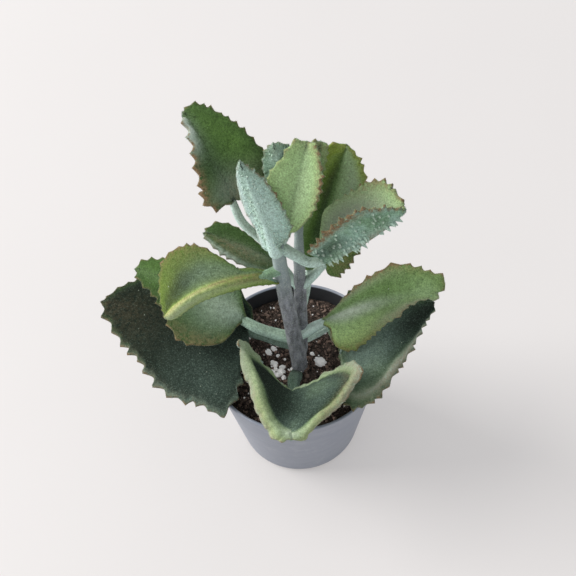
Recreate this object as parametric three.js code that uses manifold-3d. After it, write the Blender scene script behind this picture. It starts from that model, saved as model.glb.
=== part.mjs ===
// A young felt-leaved kalanchoe in a round plastic nursery pot.
// Millimetres, +Z up, origin at the middle of the pot's underside.
import * as THREE from 'three';
import { mergeVertices } from 'three/addons/utils/BufferGeometryUtils.js';
import Module from 'manifold-3d';

const wasm = await Module();
wasm.setup();

// ---- pot and soil -------------------------------------------------------------------------
const RIM_RADIUS = 52.5;
const POT_HEIGHT = 83;
const FOOT_RADIUS = 38.5;
const WALL = 1.6;
const FLOOR = 2.4;
const COLLAR_HEIGHT = 9;
const COLLAR_STEP = 1;
const HUB_RADIUS = 14;           // flat middle of the underside, inside the recess of the drain holes
const DRAIN_RADIUS = 3.5;
const DRAIN_CIRCLE = 22.5;
const DRAINS = 5;
const POT_SIDES = 44;
const DRAIN_SIDES = 12;
const SOIL_TOP = 75;
const LUMPS = 46;                // coarse crumbs and perlite grains on the soil
const SMALLEST_LUMP = 1.8;
const LUMP_SPREAD = 1.6;
const LUMP_REACH = 44;           // they lie within this distance of the middle
const GAP = 0.3;
const FINEST = 0.01;            // edges left by a join that are shorter than this are closed up

// ---- plant --------------------------------------------------------------------------------
const BLADE_MIDDLE = 3;          // thickness at the midrib
const BLADE_EDGE = 1.5;          // thickness at the margin
const NECK = 2.6;                // the blade's back corners lie this far behind and beside its base
const TEETH = 9;                 // along each margin
const MIDRIB_POWER = 1.4;        // rows start closer together near the base
const LINE_STEPS = 24;           // of the line from midrib to margin
const CURVE_STEPS = 40;          // for each stretch of a margin, to measure its length
const TOOTH_DEPTH = 1.9;
const RIB_END = 0.45;            // share of the blade that the stalk runs on under it as a rib
const RIB_TIP_RADIUS = 0.9;
const ACROSS = [0, 0.45, 0.8, 1]; // shares of the way from midrib to margin
const RIM_TURN = 1.6;            // the rim turns within this length
const RIM_MOST = 0.45;           // and takes up no more than this share of a half
const THORN_LENGTH = 2.2;
const THORN_RADIUS = 0.95;
const THORN_SIDES = 4;
const STALK_SIDES = 7;
const STALK_STEPS = 10;
const STEM_SIDES = 10;
const STEM_STEPS = 12;

const deg = THREE.MathUtils.degToRad;
const vec = (p) => new THREE.Vector3(p[0], p[1], p[2]);

// A seeded draw, so that each build is the same.
function draws(seed) {
  let state = seed;
  return () => {
    state = (state * 1664525 + 1013904223) % 4294967296;
    return state / 4294967296;
  };
}

// Stems: points of the centre line and the radius at each.
const STEMS = [
  { line: [[2.3, -5.4, 60], [1.6, -4.6, 84], [-1, -3, 115], [-4, -1.2, 152], [-5.8, -0.6, 187]],
    radii: [5, 4.7, 4.4, 4.1, 3.4] },
  { line: [[2.3, -4, 82], [3.8, 2, 98], [4.8, 8, 130], [5.4, 12.4, 162], [6.5, 15.5, 197]],
    radii: [3.8, 4, 3.6, 2.8, 1.5] },
];

// Leaves. root is where the stalk leaves the stem, base where the blade begins and tip its end.
// bend arches the midrib, face is the heading of a steep blade. left and right are the two halves,
// seen along the blade from base to tip. edge lists points of the margin in the flat blade, as
// [along the midrib, out from it]. fold is the rise of a half at the midrib, curl the turn from
// midrib to margin and rim a further turn of the outermost rimWidth, which comes in between the two
// shares of the margin in rimRows; a pair for fold runs from base to tip.
const LEAVES = {
  leaf_upper_left: {
    root: [-5, 1, 179], base: [-26, 13, 208], tip: [-47, 44, 240], bend: 30, stalk: 2.6, thorns: 8,
    left: { fold: 40, curl: -70, edge: [[-1, 6], [4, 15], [14, 13], [25, 10], [36, 5], [46, 2.5]] },
    right: { fold: 15, curl: -10, edge: [[-4, 12], [6, 25], [20, 23], [40, 15], [50, 7]] },
  },
  leaf_upper_right: {
    root: [-4, 0, 184], base: [18, -6, 181], tip: [57, -4, 211], bend: -30, stalk: 2.9, thorns: 14,
    left: { fold: 35, curl: -10, edge: [[-1, 8], [2, 15], [8, 23], [20, 24.5], [30, 23.5], [41, 22.5],
      [48, 18], [51, 9]] },
    right: { fold: 105, curl: -20, edge: [[-7, 8], [1, 14], [14, 19], [28, 20], [38, 17], [47, 8]] },
  },
  leaf_crown_front: {
    root: [-6, -3, 184], base: [-8, -6, 192], tip: [-20, 10, 237], bend: 20, face: 270, stalk: 3,
    thorns: 14,
    left: { fold: 20, curl: -20, edge: [[0, 6], [6, 12], [20, 11], [34, 8], [46, 2]] },
    right: { fold: 30, curl: -40, edge: [[0, 5], [12, 5.5], [24, 7], [40, 5], [48, 1.5]] },
  },
  leaf_crown_back: {
    root: [-4, 2, 186], base: [0, 5, 193], tip: [12, 18, 239], bend: -10, face: 80, stalk: 2.8, thorns: 6,
    left: { fold: 25, curl: -20, edge: [[-1, 6], [12, 12], [28, 15], [40, 10], [49, 6]] },
    right: { fold: 40, curl: -10, edge: [[0, 6], [12, 12], [26, 14], [42, 11], [50, 5]] },
  },
  leaf_bud_front: {
    root: [6, 14, 188], base: [5, 12, 198], tip: [-4, 19, 238], bend: 0, face: 270, stalk: 1.7, thorns: 8,
    left: { fold: 20, curl: 0, edge: [[-1, 5], [12, 10], [30, 9], [39, 5]] },
    right: { fold: 20, curl: 0, edge: [[-1, 5], [12, 10], [30, 9], [39, 4]] },
  },
  leaf_bud_back: {
    root: [6, 15, 190], base: [9, 21.5, 198], tip: [19, 26, 230], bend: 0, face: 90, stalk: 1.7,
    thorns: 6,
    left: { fold: 15, curl: 0, edge: [[-1, 5], [12, 9], [28, 8], [34, 4]] },
    right: { fold: 20, curl: 0, edge: [[-1, 5], [12, 9], [28, 7], [34, 4]] },
  },
  leaf_shoot_back: {
    root: [5, 7, 120], base: [12, 19, 141], tip: [32, 30, 223], bend: -10, face: 80, stalk: 2.7,
    thorns: 8,
    left: { fold: 25, curl: -10, edge: [[0, 7], [10, 11], [22, 15], [50, 17], [70, 18], [81, 13],
      [86, 8]] },
    right: { fold: 20, curl: -10, edge: [[0, 5], [12, 8], [32, 9], [54, 14], [68, 15], [79, 9],
      [84, 3]] },
  },
  leaf_shoot_left: {
    root: [4, 9, 138], base: [-10, 19, 150], tip: [-46, 30, 164], bend: 20, stalk: 2.6, thorns: 8,
    left: { fold: 30, curl: -60, edge: [[-3, 6], [6, 11], [16, 12], [30, 9], [38, 4]] },
    right: { fold: 25, curl: -20, edge: [[-1, 4], [9, 6], [26, 10], [36, 8]] },
  },
  leaf_shoot_right: {
    root: [6, 9, 138], base: [21, 11, 158], tip: [41, 7, 180], bend: 20, stalk: 2.6, thorns: 6,
    left: { fold: 20, curl: -30, edge: [[0, 6], [8, 9], [20, 8]] },
    right: { fold: -30, curl: -30, edge: [[-5, 6], [-4, 10], [8, 11], [18, 8], [26, 4]] },
  },
  leaf_middle_left: {
    root: [-6, -2, 168], base: [-15, -4, 168], tip: [-70, -6, 137], bend: 60, stalk: 2.8, thorns: 8,
    left: { fold: -80, curl: -15, edge: [[-10, 7], [4, 8], [24, 8.5], [41, 7], [52, 6.5], [62, 5]] },
    right: { fold: 37, curl: -10, edge: [[5, 4.5], [13, 6], [19, 13], [27, 22], [38, 26.5], [48, 25],
      [58, 15]] },
  },
  leaf_lower_left: {
    root: [-2, -2, 103], base: [-30, 8, 112], tip: [-92, 42, 122], bend: 20, stalk: 3.4, thorns: 10,
    left: { fold: -10, curl: -10, edge: [[-1, 6], [2, 19], [16, 28], [28, 28], [51, 12], [64, 7]] },
    right: { fold: 20, curl: 0, edge: [[1, 6], [5, 11], [14, 22], [40, 20], [61, 11], [70, 6]] },
  },
  leaf_lower_right: {
    root: [0, -2, 103], base: [19, 2, 112], tip: [86, 3, 131], bend: 30, stalk: 3.2, thorns: 10,
    left: { fold: 35, curl: -20, edge: [[2, 4], [17, 10.5], [35, 18], [48, 20], [61, 14], [69, 11],
      [72, 6]] },
    right: { fold: [-4, -90], curl: -44, edge: [[1, 7], [-1, 13], [2, 20], [9, 23], [26, 18], [42, 11],
      [50, 5], [60, 3], [67, 4]] },
  },
  leaf_base_front: {
    root: [0, -5, 69], base: [-3, -31, 91], tip: [-6, -65.5, 96.5], bend: 20, stalk: 3.9, thorns: 10,
    left: { fold: 16, curl: 40, rim: -115, rimWidth: 4.5, rimRows: [0.44, 0.54], edge: [[-4, 8], [-8, 22],
      [-5, 38], [8, 49], [12, 43], [18, 33], [22, 23], [29, 14], [34, 8]] },
    right: { fold: 30, curl: 30, rim: -105, rimWidth: 9, rimRows: [0.42, 0.54], edge: [[-4, 8], [-8, 18],
      [-14, 31], [-8, 46], [-4, 38], [3, 32], [14, 28], [22, 23], [29, 17], [34, 9]] },
  },
  leaf_base_left: {
    root: [1, 0, 92], base: [-28, 13, 92], tip: [-117, 35, 101], bend: 20, stalk: 3.8, thorns: 14,
    left: { fold: -2, curl: -10, edge: [[-4, 16], [-3, 30], [-3, 46], [1, 57], [16, 54], [32, 54],
      [45, 46], [60, 34], [76, 21], [88, 6]] },
    right: { fold: 20, curl: -10, edge: [[-2, 9], [7, 20], [33, 27], [61, 22], [82, 11]] },
  },
  leaf_base_right: {
    root: [4, 3, 94], base: [29, 12, 96], tip: [84, 14, 105], bend: 20, stalk: 3.6, thorns: 16,
    left: { fold: 15, curl: -10, edge: [[-2, 9], [14, 19], [38, 17], [52, 7]] },
    right: { fold: -4, curl: 12, rim: -75, rimWidth: 6, rimRows: [0.54, 0.6], edge: [[-3, 12], [-5, 28],
      [-5, 48], [-2, 60], [8, 60], [16, 57], [21, 52], [25, 47], [31, 38], [40, 26], [47, 16], [54, 7]] },
  },
};

// ---- solids -------------------------------------------------------------------------------
// A closed three.js geometry as a solid that can be joined and cut.
function toSolid(geometry) {
  const bare = geometry.clone();
  bare.deleteAttribute('normal');
  bare.deleteAttribute('uv');
  const merged = mergeVertices(bare, 1e-4);
  return new wasm.Manifold(new wasm.Mesh({
    numProp: 3,
    vertProperties: new Float32Array(merged.attributes.position.array),
    triVerts: new Uint32Array(merged.index.array),
  }));
}

function toGeometry(solid) {
  const mesh = solid.asOriginal().simplify(FINEST).getMesh();
  const geometry = new THREE.BufferGeometry();
  geometry.setAttribute('position', new THREE.BufferAttribute(new Float32Array(mesh.vertProperties), 3));
  geometry.setIndex(new THREE.BufferAttribute(new Uint32Array(mesh.triVerts), 1));
  geometry.computeVertexNormals();
  return geometry;
}

// The largest body of a solid: a cut can leave a loose scrap.
function largestBody(solid) {
  const bodies = solid.decompose();
  return bodies.reduce((best, body) => (body.volume() > best.volume() ? body : best));
}

// Triangles of plain vectors as a closed geometry.
function fromTriangles(triangles) {
  const geometry = new THREE.BufferGeometry();
  geometry.setFromPoints(triangles.flat());
  return mergeVertices(geometry, 1e-4);
}

// A round tube of varying radius along a smooth line, closed at both ends.
function loft(line, radii, sides, steps, grow) {
  const curve = new THREE.CatmullRomCurve3(line.map(vec), false, 'centripetal');
  const rings = [];
  for (let i = 0; i <= steps; i += 1) {
    const t = i / steps;
    const centre = curve.getPoint(t);
    const along = curve.getTangent(t);
    const across = new THREE.Vector3(0, 1, 0.2).cross(along).normalize();
    const up = along.clone().cross(across);
    const place = t * (radii.length - 1);
    const k = Math.min(Math.floor(place), radii.length - 2);
    const radius = THREE.MathUtils.lerp(radii[k], radii[k + 1], place - k) + grow;
    rings.push(Array.from({ length: sides }, (_, j) => {
      const angle = (2 * Math.PI * j) / sides;
      return centre.clone()
        .addScaledVector(across, radius * Math.cos(angle))
        .addScaledVector(up, radius * Math.sin(angle));
    }));
  }
  const first = curve.getPoint(0);
  const last = curve.getPoint(1);
  const triangles = [];
  for (let j = 0; j < sides; j += 1) {
    const k = (j + 1) % sides;
    for (let i = 0; i < steps; i += 1) {
      triangles.push([rings[i][j], rings[i][k], rings[i + 1][k]]);
      triangles.push([rings[i][j], rings[i + 1][k], rings[i + 1][j]]);
    }
    triangles.push([first, rings[0][k], rings[0][j]]);
    triangles.push([last, rings[steps][j], rings[steps][k]]);
  }
  return fromTriangles(triangles);
}

// ---- leaves -------------------------------------------------------------------------------
const runs = (value, share) => (
  Array.isArray(value) ? THREE.MathUtils.lerp(value[0], value[1], share) : value
);

// The blade's own frame: forward along the chord, left and up, and the length of the arched midrib.
function bladeFrame(leaf) {
  const base = vec(leaf.base);
  const forward = vec(leaf.tip).sub(base);
  const chord = forward.length();
  forward.normalize();
  const heading = leaf.face === undefined
    ? new THREE.Vector3(forward.x, forward.y, 0)
    : new THREE.Vector3(Math.cos(deg(leaf.face)), Math.sin(deg(leaf.face)), 0);
  const left = new THREE.Vector3(0, 0, 1).cross(heading);
  left.addScaledVector(forward, -left.dot(forward)).normalize();
  const up = forward.clone().cross(left);
  const bend = deg(leaf.bend);
  const length = bend === 0 ? chord : (chord * bend) / 2 / Math.sin(bend / 2);
  return { base, forward, left, up, bend, length };
}

// A point of the flat blade, laid on the arched midrib: along it, sideways and above it.
function onBlade(frame, along, sideways, above) {
  const { base, forward, left, up, bend, length } = frame;
  let run = along;
  let rise = 0;
  let slope = 0;
  if (bend !== 0) {
    slope = bend * (0.5 - along / length);
    run = (Math.sin(bend / 2) - Math.sin(slope)) * (length / bend);
    rise = (Math.cos(slope) - Math.cos(bend / 2)) * (length / bend);
  }
  return base.clone()
    .addScaledVector(forward, run - Math.sin(slope) * above)
    .addScaledVector(up, rise + Math.cos(slope) * above)
    .addScaledVector(left, sideways);
}

// Width of the turned rim of a half at a row.
const rimWidth = (half, width) => Math.min(half.rimWidth ?? 0, RIM_MOST * width);

// Sideways and upward reach of a point at a share of the line from midrib to margin, found by
// walking outwards while the direction turns by fold, curl and rim.
function bentLine(half, width, widest, share, along) {
  const fold = runs(half.fold, along);
  const rim = half.rim ? half.rim * THREE.MathUtils.smoothstep(along, ...half.rimRows) : 0;
  let out = 0;
  let above = 0;
  for (let i = 0; i < LINE_STEPS; i += 1) {
    const s = (share * (i + 0.5)) / LINE_STEPS;
    const intoRim = (rimWidth(half, width) - (1 - s) * width) / RIM_TURN;
    const turn = deg(fold + (half.curl * s * width) / widest
      + rim * THREE.MathUtils.clamp(intoRim, 0, 1));
    out += (Math.cos(turn) * share * width) / LINE_STEPS;
    above += (Math.sin(turn) * share * width) / LINE_STEPS;
  }
  return [out, above];
}

// Margin of one half: evenly spaced points of a smooth line, every second one drawn in to leave teeth.
function margin(half, length, seed) {
  const points = [[-NECK, NECK], ...half.edge, [length, 0]].map(([a, b]) => new THREE.Vector3(a, b, 0));
  const curve = new THREE.CatmullRomCurve3(points, false, 'centripetal');
  curve.arcLengthDivisions = CURVE_STEPS * (points.length - 1);
  const count = 2 * TEETH;
  const random = draws(seed);
  return Array.from({ length: count + 1 }, (_, i) => {
    const point = curve.getPointAt(i / count);
    const depth = TOOTH_DEPTH * (0.7 + 0.6 * random());
    if (i % 2 === 0 && i > 0 && i < count) {
      const along = curve.getTangentAt(i / count);
      point.add(new THREE.Vector3(along.y, -along.x, 0).multiplyScalar(depth));
    }
    point.y = Math.max(point.y, 0);
    return point;
  });
}

// Mid surface of one half: rows from midrib to margin, the margin with a point more between rows.
// shares gives the places of a row's columns; where a rim turns, the third lies on its crest.
function halfSurface(frame, half, side, seed) {
  const edge = margin(half, frame.length, seed);
  const widest = Math.max(...edge.map((p) => p.y));
  const count = edge.length - 1;
  const point = (i, share) => {
    const along = i / count;
    const onMidrib = frame.length * along ** MIDRIB_POWER;
    const [out, above] = bentLine(half, edge[i].y, widest, share, along);
    return onBlade(frame, THREE.MathUtils.lerp(onMidrib, edge[i].x, share), side * out, above);
  };
  const shares = (i) => {
    const width = edge[i].y;
    if (!half.rim || width === 0) return ACROSS;
    return [ACROSS[0], ACROSS[1], 1 - rimWidth(half, width) / width, 1];
  };
  return { count, point, shares };
}

// The whole blade: both halves share the midrib, and top and bottom are split alike.
function bladeGeometry(leaf, seed) {
  const frame = bladeFrame(leaf);
  const places = [];
  const thickness = [];
  const faces = [];
  const midrib = [];
  const margins = [];
  const add = (place, share) => {
    places.push(place);
    thickness.push(THREE.MathUtils.lerp(BLADE_MIDDLE, BLADE_EDGE, share) / 2);
    return places.length - 1;
  };
  for (const side of [1, -1]) {
    const half = side > 0 ? leaf.left : leaf.right;
    const { count, point, shares } = halfSurface(frame, half, side, seed + side);
    const rows = [];
    const outer = [];
    for (let i = 0; i <= count; i += 2) {
      if (side > 0) midrib.push(add(point(i, 0), 0));
      const last = i === count;
      const row = shares(i).slice(0, -1).map((share, k) => {
        if (k === 0 || last) return midrib[i / 2];
        return add(point(i, share), share);
      });
      rows.push(row);
    }
    for (let i = 0; i <= count; i += 1) {
      outer.push(i === count ? midrib[count / 2] : add(point(i, 1), 1));
    }
    const face = (a, b, c) => {
      if (a === b || b === c || c === a) return;
      faces.push(side > 0 ? [a, b, c] : [a, c, b]);
    };
    for (let i = 0; i < rows.length - 1; i += 1) {
      for (let k = 0; k < rows[i].length - 1; k += 1) {
        face(rows[i][k], rows[i + 1][k], rows[i + 1][k + 1]);
        face(rows[i][k], rows[i + 1][k + 1], rows[i][k + 1]);
      }
      const inner = rows[i].length - 1;
      face(rows[i][inner], outer[2 * i + 1], outer[2 * i]);
      face(rows[i][inner], rows[i + 1][inner], outer[2 * i + 1]);
      face(rows[i + 1][inner], outer[2 * i + 2], outer[2 * i + 1]);
    }
    margins.push({ side, border: [...rows[0], ...outer] });
  }
  const normals = places.map(() => new THREE.Vector3());
  for (const [a, b, c] of faces) {
    const normal = places[b].clone().sub(places[a]).cross(places[c].clone().sub(places[a]));
    for (const corner of [a, b, c]) normals[corner].add(normal);
  }
  normals.forEach((normal) => normal.normalize());
  const top = places.map((place, i) => place.clone().addScaledVector(normals[i], thickness[i]));
  const bottom = places.map((place, i) => place.clone().addScaledVector(normals[i], -thickness[i]));
  const triangles = [];
  for (const [a, b, c] of faces) {
    triangles.push([top[a], top[b], top[c]], [bottom[a], bottom[c], bottom[b]]);
  }
  const wall = (a, b) => {
    triangles.push([top[a], bottom[a], bottom[b]], [top[a], bottom[b], top[b]]);
  };
  for (const { side, border } of margins) {
    for (let i = 0; i < border.length - 1; i += 1) {
      if (side > 0) wall(border[i + 1], border[i]);
      else wall(border[i], border[i + 1]);
    }
  }
  return fromTriangles(triangles);
}

// Stalk from the stem to the blade, which runs on under the midrib as a rib that thins out.
function stalkGeometry(leaf, grow = 0) {
  const frame = bladeFrame(leaf);
  const root = vec(leaf.root);
  const reach = frame.base.distanceTo(root);
  const entry = onBlade(frame, -0.35 * reach, 0, -0.5);
  const halfway = root.clone().lerp(entry, 0.55).add(new THREE.Vector3(0, 0, -0.03 * reach));
  const rib = [0.02, 0.22, RIB_END].map((share) => (
    onBlade(frame, share * frame.length, 0, -0.5 - 0.6 * share)
  ));
  const line = [root, halfway, entry, ...rib].map((p) => p.toArray());
  const r = leaf.stalk;
  const radii = [r * 1.08, r, r * 0.95, r * 0.85, r * 0.5, RIB_TIP_RADIUS];
  return loft(line, radii, STALK_SIDES, STALK_STEPS, grow);
}

// Thorn-like outgrowths of the underside: slim pyramids with their roots sunk in the blade.
function thornSolids(leaf, seed) {
  const frame = bladeFrame(leaf);
  const random = draws(seed + 77);
  return Array.from({ length: leaf.thorns }, (_, n) => {
    const side = n % 2 === 0 ? 1 : -1;
    const half = side > 0 ? leaf.left : leaf.right;
    const { count, point } = halfSurface(frame, half, side, seed + side);
    const i = 2 + Math.round(((n + random()) / leaf.thorns) * (count - 5));
    const share = 0.5 + 0.4 * random();
    const here = point(i, share);
    const onward = point(i + 1, share).sub(here);
    const outward = point(i, share + 0.08).sub(here);
    const down = onward.cross(outward).multiplyScalar(-side).normalize();
    const sunk = BLADE_EDGE / 4;
    const cone = new THREE.ConeGeometry(THORN_RADIUS, THORN_LENGTH + sunk, THORN_SIDES);
    cone.translate(0, (THORN_LENGTH + sunk) / 2 + sunk, 0);
    cone.applyQuaternion(new THREE.Quaternion().setFromUnitVectors(new THREE.Vector3(0, 1, 0), down));
    cone.translate(here.x, here.y, here.z);
    return toSolid(cone);
  });
}

// ---- build --------------------------------------------------------------------------------
const SKIN = {
  pot: new THREE.MeshStandardMaterial({ color: 0x8a8d96, roughness: 0.45, metalness: 0 }),
  soil: new THREE.MeshStandardMaterial({ color: 0x2e211b, roughness: 1, metalness: 0 }),
  stem: new THREE.MeshStandardMaterial({ color: 0x8d8a93, roughness: 0.9, metalness: 0 }),
  leaf: new THREE.MeshStandardMaterial({ color: 0x5d8049, roughness: 0.85, metalness: 0 }),
};

function potSolid() {
  const slope = (RIM_RADIUS - COLLAR_STEP - FOOT_RADIUS) / POT_HEIGHT;
  const outer = (z) => FOOT_RADIUS + slope * z;
  const collar = POT_HEIGHT - COLLAR_HEIGHT;
  const profile = [
    [0, 0], [HUB_RADIUS, 0], [HUB_RADIUS + 1, 0.8], [FOOT_RADIUS - 8, 0.8],
    [FOOT_RADIUS - 7, 0], [FOOT_RADIUS - 1.5, 0],
    [outer(1.4), 1.4], [outer(3.5) + 0.3, 3.5], [outer(collar), collar],
    [outer(collar) + COLLAR_STEP, collar + 0.6], [RIM_RADIUS - 0.4, POT_HEIGHT - 1.2],
    [RIM_RADIUS, POT_HEIGHT - 0.5], [RIM_RADIUS - 0.7, POT_HEIGHT],
    [RIM_RADIUS - 2, POT_HEIGHT - 0.6], [outer(collar) - WALL, collar - 1],
    [outer(FLOOR) - WALL, FLOOR], [0, FLOOR],
  ];
  let pot = toSolid(lathe(profile));
  for (let i = 0; i < DRAINS; i += 1) {
    const angle = (2 * Math.PI * (i + 0.5)) / DRAINS;
    const hole = new THREE.CylinderGeometry(DRAIN_RADIUS, DRAIN_RADIUS, 4 * FLOOR, DRAIN_SIDES);
    hole.rotateX(Math.PI / 2);
    hole.translate(DRAIN_CIRCLE * Math.cos(angle), DRAIN_CIRCLE * Math.sin(angle), 0);
    pot = pot.subtract(toSolid(hole));
  }
  return pot;
}

// A profile of [radius, height] points turned round the Z axis.
function lathe(profile) {
  const geometry = new THREE.LatheGeometry(profile.map(([r, z]) => new THREE.Vector2(r, z)), POT_SIDES);
  geometry.rotateX(Math.PI / 2);
  return geometry;
}

// Potting mix: a plug of the pot's inner shape with a rough top, coarse crumbs and perlite grains.
function soilSolid() {
  const slope = (RIM_RADIUS - COLLAR_STEP - FOOT_RADIUS) / POT_HEIGHT;
  const inner = (z) => FOOT_RADIUS + slope * z - WALL - GAP;
  const low = FLOOR + GAP;
  const random = draws(11);
  const profile = [
    [0, low], [inner(low) - 0.2, low], [inner(SOIL_TOP) - 2, SOIL_TOP - 2.5],
    [inner(SOIL_TOP) - 7, SOIL_TOP - 0.8], [inner(SOIL_TOP) - 16, SOIL_TOP], [22, SOIL_TOP],
    [12, SOIL_TOP], [0, SOIL_TOP],
  ];
  let soil = toSolid(lathe(profile));
  const lumps = [];
  for (let i = 0; i < LUMPS; i += 1) {
    const reach = LUMP_REACH * Math.sqrt(random());
    const angle = 2 * Math.PI * random();
    const size = SMALLEST_LUMP + LUMP_SPREAD * random();
    lumps.push([reach * Math.cos(angle), reach * Math.sin(angle), size, random()]);
  }
  for (const [x, y, size, turn] of lumps) {
    const lump = new THREE.OctahedronGeometry(size, 0);
    lump.scale(1, 1, 0.75);
    lump.rotateZ(turn * Math.PI);
    lump.rotateX(turn * 0.9);
    const sink = Math.hypot(x, y) > 40 ? 1.6 : 0.3;
    lump.translate(x, y, SOIL_TOP - sink);
    soil = soil.add(toSolid(lump));
  }
  return soil;
}

const plant = new THREE.Group();
function place(name, solid, material) {
  const mesh = new THREE.Mesh(toGeometry(solid), material);
  mesh.name = name;
  plant.add(mesh);
}

// Both stems joined, each thicker by grow all round.
function stemSolid(grow) {
  return STEMS
    .map(({ line, radii }) => toSolid(loft(line, radii, STEM_SIDES, STEM_STEPS, grow)))
    .reduce((whole, part) => whole.add(part));
}

const stemRoom = stemSolid(GAP);

place('pot', potSolid(), SKIN.pot);
const soilHoles = stemRoom.add(toSolid(stalkGeometry(LEAVES.leaf_base_front, GAP)));
place('soil', largestBody(soilSolid().subtract(soilHoles)), SKIN.soil);
place('stem', stemSolid(0), SKIN.stem);

let seed = 100;
let stalkRoom = stemRoom;
for (const [name, leaf] of Object.entries(LEAVES)) {
  seed += 10;
  let solid = toSolid(bladeGeometry(leaf, seed)).add(toSolid(stalkGeometry(leaf)));
  for (const thorn of thornSolids(leaf, seed)) solid = solid.add(thorn);
  place(name, largestBody(solid.subtract(stalkRoom)), SKIN.leaf);
  stalkRoom = stalkRoom.add(toSolid(stalkGeometry(leaf, GAP)));
}

export default plant;
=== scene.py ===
"""Potted kalanchoe: a young felt-leaved succulent in its nursery pot.

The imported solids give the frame. Every piece here is a fine surface worked out with numpy in the
same frame, and stands for the solid that it replaces. Lengths are in millimetres until a mesh is
written, which is in metres.
"""

import math

import bpy
import numpy as np
from mathutils import Matrix, Vector


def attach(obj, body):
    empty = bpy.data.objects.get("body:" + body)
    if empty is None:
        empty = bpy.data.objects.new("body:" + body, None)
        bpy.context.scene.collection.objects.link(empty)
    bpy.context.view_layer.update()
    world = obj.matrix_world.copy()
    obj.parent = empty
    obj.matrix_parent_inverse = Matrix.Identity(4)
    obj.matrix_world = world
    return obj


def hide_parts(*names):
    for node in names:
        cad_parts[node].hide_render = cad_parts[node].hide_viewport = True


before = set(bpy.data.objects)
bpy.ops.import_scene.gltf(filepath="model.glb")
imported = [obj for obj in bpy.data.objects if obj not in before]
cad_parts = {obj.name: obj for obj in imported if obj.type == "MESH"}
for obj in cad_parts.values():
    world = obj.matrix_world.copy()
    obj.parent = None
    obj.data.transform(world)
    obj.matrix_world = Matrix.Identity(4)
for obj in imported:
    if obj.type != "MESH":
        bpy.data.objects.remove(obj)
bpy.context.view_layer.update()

bl_info = {
    "name": "Potted Kalanchoe",
    "version": (1, 0, 0),
    "blender": (4, 5, 0),
    "location": "3D View > Sidebar > Kalanchoe",
    "description": "Builds a felt-leaved kalanchoe in a round nursery pot",
    "category": "Object",
}

MM = 0.001

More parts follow.
